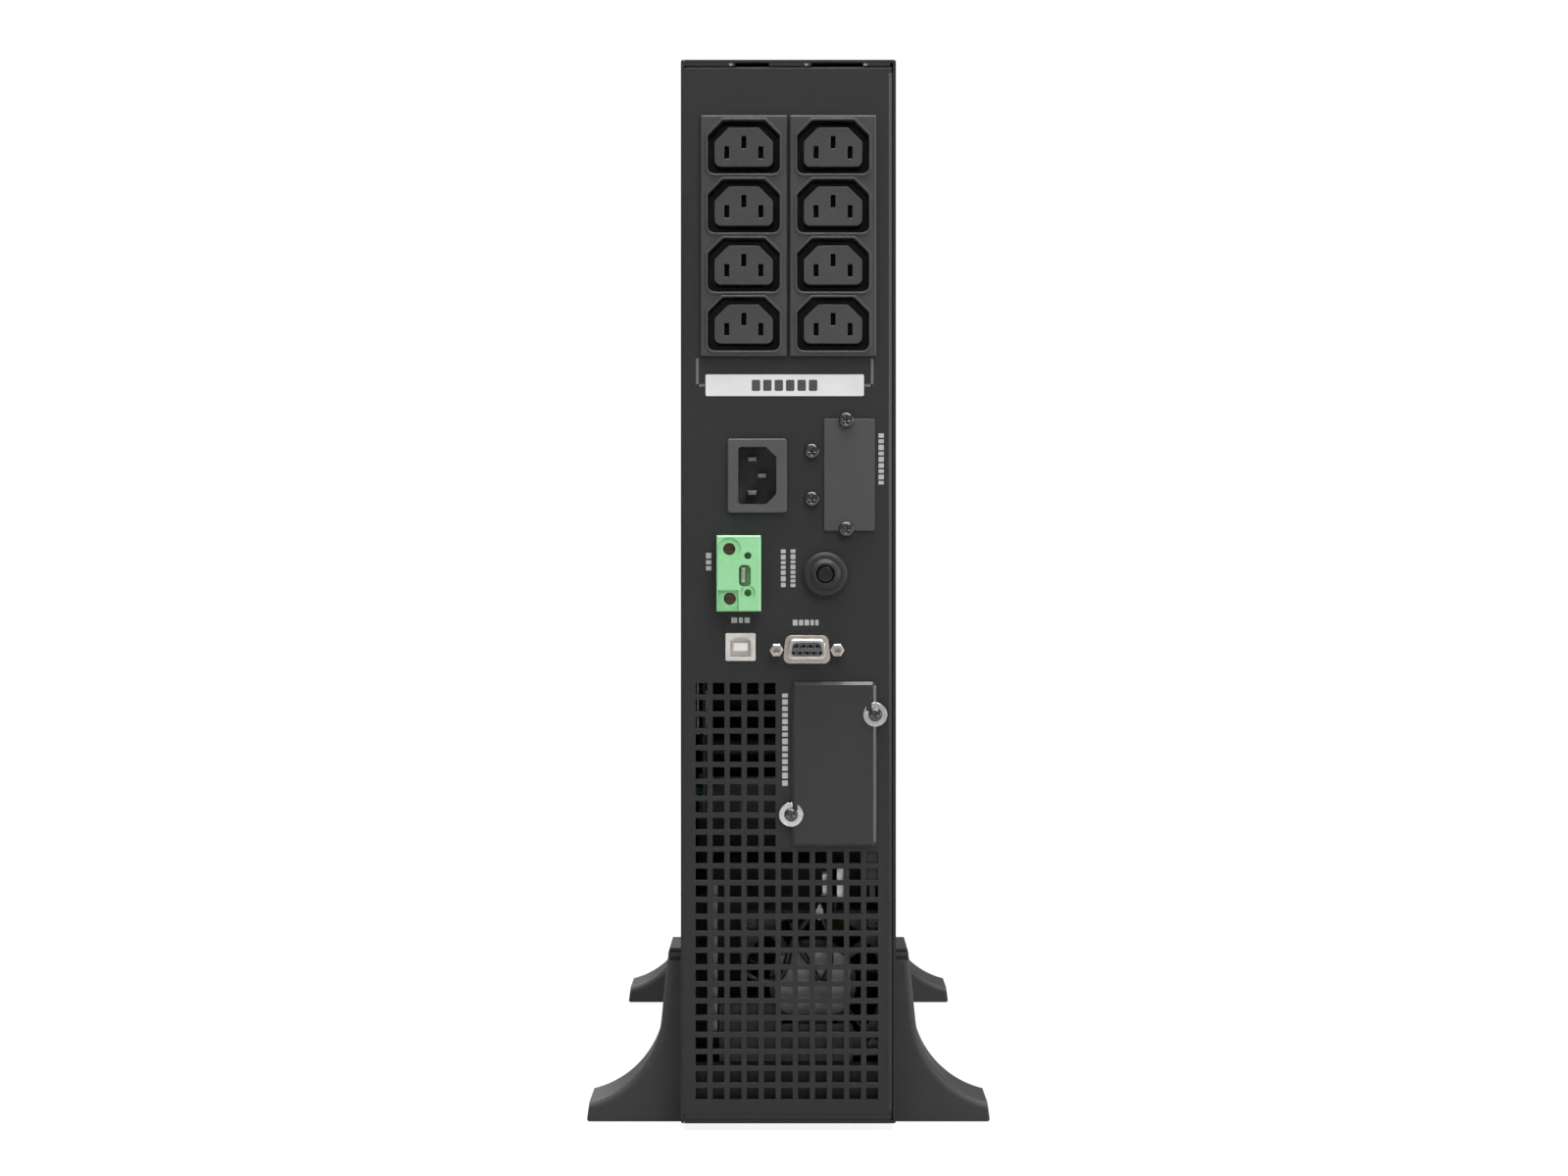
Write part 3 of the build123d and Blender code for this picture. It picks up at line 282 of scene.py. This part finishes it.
BLACK = (0.016, 0.016, 0.0165)      # the unit's powder coat
PLUG_FOOT = BASE_Z + 93.0 * MM      # where the fan's wires leave their white plugs
MATERIALS = {
    "lead_and_plug": two_part("lead_and_plug", (0.02, 0.02, 0.02), (0.92, 0.92, 0.90), PLUG_FOOT),
    "powder_coat": powder("powder_coat", shade(BLACK, 0.85)),
    "panel_coat": powder("panel_coat", shade(BLACK, 1.1)),
    # the slot cover's light edge colour is partly wear and partly a painted highlight along its
    # bevels
    "cover_coat": powder("cover_coat", BLACK, 0.36, 0.6, wear=(0.10, 0.10, 0.10)),
    "port_cover_coat": powder("port_cover_coat", shade(BLACK, 3.6), 0.5),
    "button_black": surface("button_black", (0.006, 0.006, 0.006), 0.3),
    "bare_steel": plated("bare_steel", (0.30, 0.305, 0.31), 0.42, (1.0, 1.0, 8.0)),
    "bright_steel": plated("bright_steel", (0.80, 0.80, 0.79), 0.22),
    "brown_steel": plated("brown_steel", (0.13, 0.09, 0.06), 0.45),
    "black_screw": surface("black_screw", (0.085, 0.085, 0.088), 0.22, metal=0.9, grain=900.0,
                           wear=(0.5, 0.5, 0.5)),
    "nickel": plated("nickel", (0.60, 0.55, 0.51), 0.32),
    # the brass is darkened nearly to black, a painted shade for the contacts deep in the outlet
    # slots
    "contact_brass": plated("contact_brass", (0.05, 0.044, 0.035), 0.5),
    "outlet_plastic": surface("outlet_plastic", (0.046, 0.046, 0.048), 0.38, grain=2200.0,
                              depth=0.00002, rim=0.0006),
    "inlet_plastic": surface("inlet_plastic", (0.068, 0.068, 0.070), 0.42, grain=2200.0,
                             depth=0.00002),
    "breaker_plastic": moulded("breaker_plastic", (0.022, 0.022, 0.023), 0.52, 0.3,
                               grain=2000.0),
    "port_plastic": surface("port_plastic", (0.085, 0.085, 0.09), 0.45),
    "plug_green": surface("plug_green", (0.276, 0.612, 0.310), 0.42, grain=1800.0, depth=0.00002,
                          vary=0.05, wear=(0.42, 0.70, 0.45), dust=0.02),
    "white_plastic": surface("white_plastic", (0.86, 0.86, 0.84), 0.4, vary=0.03, dust=0.02),
    "connector_grey": surface("connector_grey", (0.28, 0.28, 0.30), 0.45),
    "fan_plastic": surface("fan_plastic", (0.012, 0.012, 0.013), 0.42, grain=1700.0),
    "motor_varnish": surface("motor_varnish", (0.30, 0.12, 0.05), 0.3, grain=400.0,
                             depth=0.0002, stretch=(1.0, 6.0, 1.0)),
    "circuit_board": surface("circuit_board", (0.012, 0.065, 0.03), 0.3, grain=260.0,
                             depth=0.00003, vary=0.25),
    "capacitor_sleeve": surface("capacitor_sleeve", (0.02, 0.022, 0.05), 0.25, grain=500.0),
    "heat_sink_alloy": plated("heat_sink_alloy", (0.62, 0.63, 0.65), 0.34, (1.0, 12.0, 1.0)),
    "core_iron": surface("core_iron", (0.10, 0.10, 0.11), 0.45, metal=0.7, grain=1100.0,
                         depth=0.00012, stretch=(0.02, 1.0, 0.02)),
    "coil_tape": surface("coil_tape", (0.55, 0.36, 0.07), 0.35, grain=500.0, depth=0.00006,
                         stretch=(1.0, 1.0, 8.0)),
    "battery_case": surface("battery_case", (0.055, 0.055, 0.06), 0.45),
    "lead_red": surface("lead_red", (0.42, 0.02, 0.02), 0.4),
    "bezel_plastic": surface("bezel_plastic", (0.020, 0.020, 0.021), 0.42, grain=1900.0,
                             depth=0.00004, patch=7.0),
    "grille_plastic": surface("grille_plastic", (0.014, 0.014, 0.015), 0.5, grain=1900.0),
    "display_plastic": surface("display_plastic", (0.02, 0.02, 0.022), 0.2, grain=2600.0,
                               depth=0.00001),
    "display_glass": glass("display_glass", (0.42, 0.46, 0.50)),
    "display_face": surface("display_face", (0.05, 0.14, 0.30), 0.3, grain=3000.0,
                            depth=0.000004, vary=0.05, dust=0.0),
    "button_plastic": surface("button_plastic", (0.16, 0.16, 0.17), 0.4),
    "foot_plastic": moulded("foot_plastic", (0.038, 0.038, 0.0385), 0.5, 0.2, grain=1600.0,
                            depth=0.00005, patch=12.0, rim=0.0006, dust=0.0),
    "pad_rubber": surface("pad_rubber", (0.02, 0.02, 0.02), 0.8, grain=900.0, depth=0.0001),
}
NODE_SLOTS = {entry["node"]: entry["material_slot"] for entry in frame["record"]["subparts"]}
# nodes that look different from the rest of their slot; the square port's shell has its own finish,
# and the inlet's pins and the fan's screws are darkened as painted shade
NODE_FINISH_AND_SHADE = {"usb_shell": plated("usb_shell", (0.90, 0.83, 0.78), 0.40),
               # the inlet's pins are darkened, a painted shade for pins deep in the inlet's cavity
               "inlet_pins": plated("inlet_pins", (0.24, 0.235, 0.225), 0.42),
               # the fan's screws are made near black, a painted shade for screws inside the unit
               # behind the vents
               "fan_screws": MATERIALS["button_black"]}
for node, cad_object in frame["nodes"].items():
    for slot in cad_object.material_slots:
        slot.material = NODE_FINISH_AND_SHADE.get(node, MATERIALS[NODE_SLOTS[node]])


# ---- helpers for new pieces ------------------------------------------------------
def piece(name, bm, material, body):
    """A mesh in its material, riding on a body."""
    bmesh.ops.recalc_face_normals(bm, faces=bm.faces)
    mesh = bpy.data.meshes.new(name)
    bm.to_mesh(mesh)
    bm.free()
    mesh.materials.append(material)
    made = bpy.data.objects.new(name, mesh)
    bpy.context.collection.objects.link(made)
    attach(made, body)


def prism(bm, corners, push):
    """A closed solid from a flat outline of points, pushed along a vector."""
    near = [bm.verts.new(point) for point in corners]
    far = [bm.verts.new(point + push) for point in corners]
    bm.faces.new(near)
    bm.faces.new(list(reversed(far)))
    for i, first in enumerate(near):
        following = (i + 1) % len(near)
        bm.faces.new((first, near[following], far[following], far[i]))


CORNER_STEPS = 4


def rounded(width, height, radius):
    """Outline of a rounded rectangle about its middle, in millimetres."""
    points = []
    for quarter, (sx, sy) in enumerate(((1, 1), (-1, 1), (-1, -1), (1, -1))):
        cx, cy = sx * (width / 2 - radius), sy * (height / 2 - radius)
        for step in range(CORNER_STEPS + 1):
            angle = math.radians(90 * (quarter + step / CORNER_STEPS))
            points.append((cx + radius * math.cos(angle), cy + radius * math.sin(angle)))
    return points


def plate(bm, place, u, v, width, height, low, high, radius=0.2):
    """A rounded plate at (u, v) of a face, from low to high out of it."""
    outline = [place(u + du, v + dv, low) for du, dv in rounded(width, height, radius)]
    prism(bm, outline, place(0, 0, high) - place(0, 0, low))


# ---- printed marks on the rear panel ---------------------------------------------
INK = printed("panel_ink", (0.42, 0.42, 0.41))
LABEL = printed("label_face", (0.72, 0.72, 0.71), 0.35)
LABEL_INK = printed("label_ink", (0.06, 0.06, 0.06))
BRACKET = printed("bracket_ink", (0.13, 0.13, 0.13))
PRINT = 0.06        # thickness of the ink, millimetres


def marks(bm, u, v, length, width, count, upright):
    """A row of plain blocks of uneven length, where a caption would be printed."""
    shares = [random.uniform(0.7, 1.3) for _ in range(count)]
    gap = 0.28 * length / count
    free = length - gap * (count - 1)
    at = -length / 2
    for share in shares:
        size = free * share / sum(shares)
        centre = at + size / 2
        at += size + gap
        if upright:
            plate(bm, rear_point, u, v - centre, width, size, 0.0, PRINT, 0.25)
        else:
            plate(bm, rear_point, u + centre, v, size, width, 0.0, PRINT, 0.25)


CAPTIONS = (                # u, v, length, width, number of blocks, upright or not
    (38.2, 273.6, 21.0, 2.2, 9, True),      # external battery port
    (-32.8, 231.3, 7.2, 2.2, 3, True),      # emergency plug
    (-2.1, 228.6, 15.5, 2.0, 7, True),      # breaker, in two columns
    (1.9, 228.6, 15.5, 2.0, 8, True),
    (-19.7, 207.2, 7.6, 2.3, 3, False),     # data ports
    (7.1, 206.2, 10.6, 2.3, 5, False),
    (-1.4, 158.0, 38.0, 2.3, 14, True),     # card slot
)
legend = bmesh.new()
for caption in CAPTIONS:
    marks(legend, *caption)
piece("panel_marks", legend, INK, "chassis")

LABEL_THICK = 0.15
label = bmesh.new()
plate(label, rear_point, -1.5, 303.95, 65.2, 8.9, 0.0, LABEL_THICK, 0.6)
piece("output_label", label, LABEL, "chassis")

BLOCKS, BLOCK_PITCH = 6, 4.7        # plain blocks on the label
label_mark = bmesh.new()
for i in range(BLOCKS):
    plate(label_mark, rear_point, -1.6 + (i - (BLOCKS - 1) / 2) * BLOCK_PITCH, 303.9, 3.5, 4.6,
          LABEL_THICK - 0.01, LABEL_THICK + 0.05, 0.6)
piece("output_label_mark", label_mark, LABEL_INK, "chassis")

bracket = bmesh.new()
for u, inward in ((-37.5, 1), (34.5, -1)):
    plate(bracket, rear_point, u, 309.2, 1.1, 11.6, 0.0, PRINT, 0.1)
    plate(bracket, rear_point, u + inward * 1.4, 303.9, 3.4, 1.1, 0.0, PRINT, 0.1)
piece("label_bracket", bracket, BRACKET, "chassis")

# ---- fan label -------------------------------------------------------------------
fan_low, fan_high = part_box("fan_frame")
FAN_U, FAN_V = middle("fan_frame")
FAN_OUT = outward(fan_high[1])      # the fan frame's near face
BRACKET_OUT = outward(fan_low[1])   # its far face, on the bracket


def disc(bm, place, u, v, radius, low, high, steps):
    """A flat round plate at (u, v) of a face, with a softened rim."""
    for inset, start, end in ((0.0, low, high - 0.1), (0.12, high - 0.1, high)):
        ring = [place(u + (radius - inset) * math.cos(2 * math.pi * i / steps),
                      v + (radius - inset) * math.sin(2 * math.pi * i / steps), start)
                for i in range(steps)]
        prism(bm, ring, place(0, 0, end) - place(0, 0, start))


LABEL_SIZE = (31.0, 25.5)           # plain label across the hub, millimetres
hub = bmesh.new()
plate(hub, rear_point, FAN_U, FAN_V, *LABEL_SIZE, FAN_OUT, FAN_OUT + 0.2, 7.0)
# the label is painted darker towards its bottom, a painted shade over the lower part of the hub
label_shaded_below = two_part("fan_label", (0.07, 0.07, 0.07), (0.27, 0.27, 0.27),
                BASE_Z + (FAN_V - 6.0) * MM, 20.0 * MM)
piece("fan_label", hub, label_shaded_below, "chassis")

# ---- what shows through the vents ------------------------------------------------
PANEL_BACK = -1.2                   # inner face of the rear panel, out of its outer face
BEHIND = -3.7                       # middle of the gap between the panel and the fan
SEAM_FACE = -0.03                   # just inside the panel's outer face
RIB_DEPTH = 24.0                    # how far the fan bracket's edge reaches beyond the fan
GUIDE_DEPTH = 9.0                   # how far the board guides reach in
BLACK_WIRE = surface("black_wire", (0.006, 0.006, 0.006), 0.45, grain=600.0)
EDGE_STEEL = plated("edge_steel", (0.16, 0.16, 0.16), 0.5, (1.0, 1.0, 8.0))
LINER = powder("liner_coat", shade(BLACK, 0.6))


def wire(name, spots, thickness):
    """One of the fan's black wires on a smooth curve between the panel and the fan, its
    points as (u, v) from behind."""
    curve = bpy.data.curves.new(name, "CURVE")
    curve.dimensions = "3D"
    curve.bevel_depth = thickness / 2 * MM
    curve.bevel_resolution = 3
    curve.use_fill_caps = True
    spline = curve.splines.new("NURBS")
    spline.points.add(len(spots) - 1)
    for point, (u, v) in zip(spline.points, spots):
        point.co = (*rear_point(u, v, BEHIND), 1.0)
    spline.order_u = 3
    spline.use_endpoint_u = True
    spline.resolution_u = 8
    curve.materials.append(BLACK_WIRE)
    made = bpy.data.objects.new(name, curve)
    bpy.context.collection.objects.link(made)
    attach(made, "chassis")


wire("fan_wire_a", ((-19, 63), (-16, 60), (-12, 58.2), (-7.5, 57.4), (-3, 60), (-0.8, 64.5),
                    (0.3, 70.5), (3, 77), (8, 84), (12.4, 86.8)), 3.0)
wire("fan_wire_b", ((1.5, 82), (2.5, 76), (5.5, 70), (9.5, 64.5), (12, 59), (13.6, 56.4),
                    (15.6, 60), (17.2, 64.5), (17.6, 70), (16.5, 78), (13.4, 86.4)), 2.6)

TIE = (12.8, 86.6)
tie = bmesh.new()                   # cable tie that gathers the fan's wires
plate(tie, rear_point, *TIE, 3.0, 3.4, BEHIND - 1.6, BEHIND + 1.8, 0.7)
plate(tie, rear_point, *TIE, 1.4, 6.4, BEHIND - 1.7, BEHIND + 1.4, 0.4)
piece("wire_tie", tie, MATERIALS["connector_grey"], "chassis")

guide = bmesh.new()                 # folded sheet that closes the gap round the fan
plate(guide, rear_point, -17.0, 42.4, 23.0, 12.4, BEHIND - 0.2, BEHIND + 0.6, 1.0)
plate(guide, rear_point, -1.0, 32.8, 55.0, 15.6, BEHIND - 0.1, BEHIND + 0.5, 1.0)
for u in (-26.0, -1.0, 24.0):       # feet that reach back to the fan's bracket
    plate(guide, rear_point, u, 25.8, 5.0, 1.6, BRACKET_OUT, BEHIND + 0.1, 0.6)
piece("air_guide", guide, powder("guide_coat", shade(BLACK, 1.7)), "chassis")

liner = bmesh.new()                 # insulating sheet ahead of the lowest rows of vents
plate(liner, rear_point, 0.0, 14.3, 82.0, 20.6, BEHIND - 1.4, BEHIND - 0.8, 1.0)
piece("insulating_sheet", liner, LINER, "chassis")

flange = bmesh.new()                # flange of the tray close behind the right-hand vents
for v, width, height in ((108.0, 5.4, 17.0), (95.4, 2.4, 9.0)):
    plate(flange, rear_point, 34.6, v, width, height, PANEL_BACK - 0.8, PANEL_BACK - 0.1, 0.5)
piece("panel_flange", flange, powder("flange_coat", shade(BLACK, 1.4)), "chassis")

rib = bmesh.new()                   # edge of the fan bracket, left of the fan
plate(rib, rear_point, -30.3, 68.0, 2.2, 62.0, FAN_OUT - RIB_DEPTH, BEHIND, 0.4)
for v in (48.0, 88.0):
    plate(rib, rear_point, -31.8, v, 3.4, 5.0, FAN_OUT - RIB_DEPTH, BEHIND - 3.0, 0.6)
piece("bracket_rib", rib, EDGE_STEEL, "chassis")

strips = bmesh.new()                # edges of the board guides beside the tall vent field
for u, low, high in ((-37.4, 162.5, 181.5), (-33.8, 162.5, 178.0)):
    plate(strips, rear_point, u, (low + high) / 2, 0.8, high - low,
          PANEL_BACK - GUIDE_DEPTH, PANEL_BACK - 1.4, 0.2)
    plate(strips, rear_point, u, low - 1.4, 2.2, 2.2,
          PANEL_BACK - GUIDE_DEPTH, PANEL_BACK - 2.0, 0.3)
piece("board_guides", strips, EDGE_STEEL, "chassis")

tab_highlights = bmesh.new()                  # bare corners beside the slits in the upper edge, flat lighter marks that are partly bare metal and partly a painted highlight where the edges catch the light
for u in (-23.7, 7.4, 31.7):
    plate(tab_highlights, rear_point, u, 436.0, 1.5, 1.0, 0.0, 0.1, 0.3)
piece("edge_tabs", tab_highlights, printed("bare_edge_highlight", (0.20, 0.20, 0.20)), "chassis")

seam = bmesh.new()                  # coat that has run into the seams beside and below the panel
plate(seam, rear_point, -42.6, 219.0, 1.6, 431.0, PANEL_BACK, SEAM_FACE, 0.2)
plate(seam, rear_point, 0.0, 2.5, 85.0, 1.4, PANEL_BACK, SEAM_FACE, 0.2)
piece("panel_seam", seam, MATERIALS["panel_coat"], "chassis")

lip = bmesh.new()                   # lip down the panel's right-hand edge, painted lighter as a highlight where the bend catches the light, brighter towards the top
plate(lip, rear_point, 41.95, 219.0, 1.3, 427.0, 0.0, 0.1, 0.4)
# the lip's two colours are a painted highlight, dim below and bright above
lip_highlight = two_part("lip_highlight_coat", shade(BLACK, 1.3), shade(BLACK, 4.2), BASE_Z + 190.0 * MM,
                  160.0 * MM, 0.45)
piece("cover_lip", lip, lip_highlight, "chassis")

base = bmesh.new()                  # white moulding that the square port's tongue grows from
plate(base, rear_point, *middle("usb_shell"), 8.6, 7.8, -4.6, -3.8, 0.3)
piece("usb_base", base, MATERIALS["white_plastic"], "chassis")

INSERT_OUT = outward(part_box("serial_insert")[1][1])
INSERT_U, INSERT_V = middle("serial_insert")
CONTACT_PITCH, CONTACT_RADIUS = 2.5, 0.6
socket_shadows = bmesh.new()               # flat black discs painted as the shade in the mouths of the nine contacts, in two rows
for count, v in ((5, 1.3), (4, -1.3)):
    for i in range(count):
        disc(socket_shadows, rear_point, INSERT_U + (i - (count - 1) / 2) * CONTACT_PITCH, INSERT_V + v,
             CONTACT_RADIUS, INSERT_OUT - 0.1, INSERT_OUT + 0.11, 16)
piece("serial_sockets", socket_shadows, printed("socket_mouth_shade", (0.008, 0.008, 0.008)), "chassis")

# ---- blank rating plate on the side cover -----------------------------------------
PLATE_W, PLATE_V = 92.0, 232.0      # middle of the plate
rating = bmesh.new()
plate(rating, side_point, PLATE_W, PLATE_V, 96.0, 58.0, 0.0, 0.14, 2.0)
piece("rating_plate", rating, printed("rating_face", (0.40, 0.40, 0.41), 0.32), "chassis")
ROW_PITCH = 6.5
rating_mark = bmesh.new()
for row in range(7):
    for column, width in ((-24.0, 36.0), (18.0, 40.0)):
        length = width * random.uniform(0.45, 1.0)
        plate(rating_mark, side_point, PLATE_W + column - (width - length) / 2,
              PLATE_V + (3 - row) * ROW_PITCH, length, 2.0, 0.13, 0.19, 0.4)
piece("rating_mark", rating_mark, LABEL_INK, "chassis")

# ---- display: a lit panel with plain gauges ---------------------------------------
SCREEN_U, SCREEN_V = middle("display_panel", front=True)
SCREEN_OUT = (FRONT_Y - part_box("display_panel")[0][1]) / MM
LIT = printed("display_segment", (0.70, 0.88, 0.98), 0.4)
LIT_SHADER = LIT.node_tree.nodes["Principled BSDF"]
LIT_SHADER.inputs["Emission Color"].default_value = (0.55, 0.85, 1.0, 1.0)
LIT_SHADER.inputs["Emission Strength"].default_value = 0.9

segments = bmesh.new()


def segment(u, v, width, height):
    """One lit bar, from the middle of the screen."""
    plate(segments, front_point, SCREEN_U + u, SCREEN_V + v, width, height,
          SCREEN_OUT, SCREEN_OUT + 0.05)


for side in (-1, 1):                # two upright five-step gauges
    for step in range(5):
        segment(side * 18.5, -8.0 + step * 4.0, 5.0, 2.6)
for u, v, width, height in ((0, 9.4, 24, 0.7), (0, -9.8, 24, 0.7), (-12, -0.2, 0.7, 19.9),
                            (12, -0.2, 0.7, 19.9), (0, 11.0, 8, 1.6)):
    segment(u, v, width, height)
for u, height in ((-7.5, 6.0), (-2.5, 10.0), (2.5, 13.0), (7.5, 8.0)):
    segment(u, -8.0 + height / 2, 3.2, height)
piece("display_segments", segments, LIT, "display")

# ---- raised marks on the keys, one plain shape each --------------------------------
MARK_INK = printed("key_mark", (0.62, 0.62, 0.60))
SUNK, RAISED = 0.02, 0.08           # how far a mark reaches into and out of its key
for node, body in (("on_button", "on_key"), ("off_button", "off_key"),
                   ("select_button", "select_key")):
    u, v = middle(node, front=True)
    out = (FRONT_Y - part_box(node)[0][1]) / MM
    mark = bmesh.new()
    if node == "on_button":         # a bar
        plate(mark, front_point, u, v, 0.6, 2.8, out - SUNK, out + RAISED, 0.25)
    elif node == "off_button":      # a square
        plate(mark, front_point, u, v, 2.4, 2.4, out - SUNK, out + RAISED, 0.3)
    else:                           # a triangle
        corners = [front_point(u + 1.5 * math.cos(a), v + 1.5 * math.sin(a), out - SUNK)
                   for a in (0.0, 2 * math.pi / 3, 4 * math.pi / 3)]
        prism(mark, corners, front_point(0, 0, SUNK + RAISED) - front_point(0, 0, 0))
    piece(node + "_mark", mark, MARK_INK, body)

# ---- studio ----------------------------------------------------------------------
WHITE = (1.0, 1.0, 1.0, 1.0)
bpy.context.scene.view_settings.view_transform = "Standard"
world = bpy.data.worlds.new("studio")
bpy.context.scene.world = world
world.use_nodes = True
sky = world.node_tree
seen = sky.nodes.new("ShaderNodeBackground")    # what the camera sees
seen.inputs["Color"].default_value = WHITE
seen.inputs["Strength"].default_value = 1.0
lit = sky.nodes["Background"]                   # what lights the unit
lit.inputs["Color"].default_value = WHITE
way = sky.nodes.new("ShaderNodeTexCoord")
split = sky.nodes.new("ShaderNodeSeparateXYZ")
dim = sky.nodes.new("ShaderNodeMapRange")       # dimmer ahead of the unit than behind it
for socket, value in (("From Min", -0.4), ("From Max", 0.3), ("To Min", 0.07), ("To Max", 0.32)):
    dim.inputs[socket].default_value = value
sky.links.new(way.outputs["Generated"], split.inputs[0])
sky.links.new(split.outputs["Y"], dim.inputs["Value"])
sky.links.new(dim.outputs["Result"], lit.inputs["Strength"])
blend = sky.nodes.new("ShaderNodeMixShader")
path = sky.nodes.new("ShaderNodeLightPath")
sky.links.new(path.outputs["Is Camera Ray"], blend.inputs[0])
sky.links.new(lit.outputs[0], blend.inputs[1])
sky.links.new(seen.outputs[0], blend.inputs[2])
sky.links.new(blend.outputs[0], sky.nodes["World Output"].inputs["Surface"])


def paper(name, bounce, face, glow):
    """White paper as the camera sees it, which throws less light back on the unit."""
    n = Nodes(name)
    fine = n.noise(300.0, detail=4.0)
    eye = n.add("ShaderNodeLightPath").outputs["Is Camera Ray"]
    tone = n.mix(n.span(fine, 0.0, 1.0), shade(face, 0.97), face)
    n.link(n.mix(eye, bounce, tone), n.shader.inputs["Base Color"])
    n.shader.inputs["Roughness"].default_value = 0.9
    light = n.add("ShaderNodeEmission")
    light.inputs["Color"].default_value = WHITE
    both = n.add("ShaderNodeMixShader")
    n.link(n.math("MULTIPLY", eye, glow), both.inputs[0])
    n.link(n.shader.outputs[0], both.inputs[1])
    n.link(light.outputs[0], both.inputs[2])
    n.link(both.outputs[0], n.tree.nodes["Material Output"].inputs["Surface"])
    return n.material


FLOOR_RADIUS, FLOOR_THICK, FLOOR_SIDES = 1.7, 0.02, 96
floor = bmesh.new()
angles = [2 * math.pi * step / FLOOR_SIDES for step in range(FLOOR_SIDES)]
prism(floor, [Vector((FLOOR_RADIUS * math.cos(angle), FLOOR_RADIUS * math.sin(angle), -FLOOR_THICK))
              for angle in angles], Vector((0, 0, FLOOR_THICK)))
bmesh.ops.recalc_face_normals(floor, faces=floor.faces)
floor_mesh = bpy.data.meshes.new("floor")
floor.to_mesh(floor_mesh)
floor.free()
floor_mesh.materials.append(paper("floor_paper", (0.40, 0.40, 0.40), (0.93, 0.93, 0.93), 0.9))
floor_object = bpy.data.objects.new("floor", floor_mesh)
bpy.context.collection.objects.link(floor_object)


def softbox(name, place, target, size, power):
    """A rectangular area light that points at a target."""
    light_data = bpy.data.lights.new(name, "AREA")
    light_data.shape = "RECTANGLE"
    light_data.size, light_data.size_y = size
    light_data.energy = power
    light = bpy.data.objects.new(name, light_data)
    bpy.context.collection.objects.link(light)
    light.location = place
    light.rotation_euler = (Vector(target) - Vector(place)).to_track_quat("-Z", "Y").to_euler()


LIGHTS = (                  # name, place, what it points at, size, watts
    ("over", (0.0, 0.2, 3.2), (0, 0, 0), (4.0, 4.0), 170.0),
    ("crown", (0.0, 0.30, 1.9), (0, 0.21, 0.2), (1.6, 0.6), 36.0),
    ("key", (-0.8, 2.2, 2.0), (0, 0.2, 0.25), (1.0, 0.8), 22.0),
    ("side", (-1.5, 0.26, 0.30), (0, 0.21, 0.22), (0.5, 1.0), 10.0),
    ("front_key", (0.9, -2.2, 1.8), (0, 0, 0.25), (1.2, 0.9), 30.0),
)
for light in LIGHTS:
    softbox(*light)
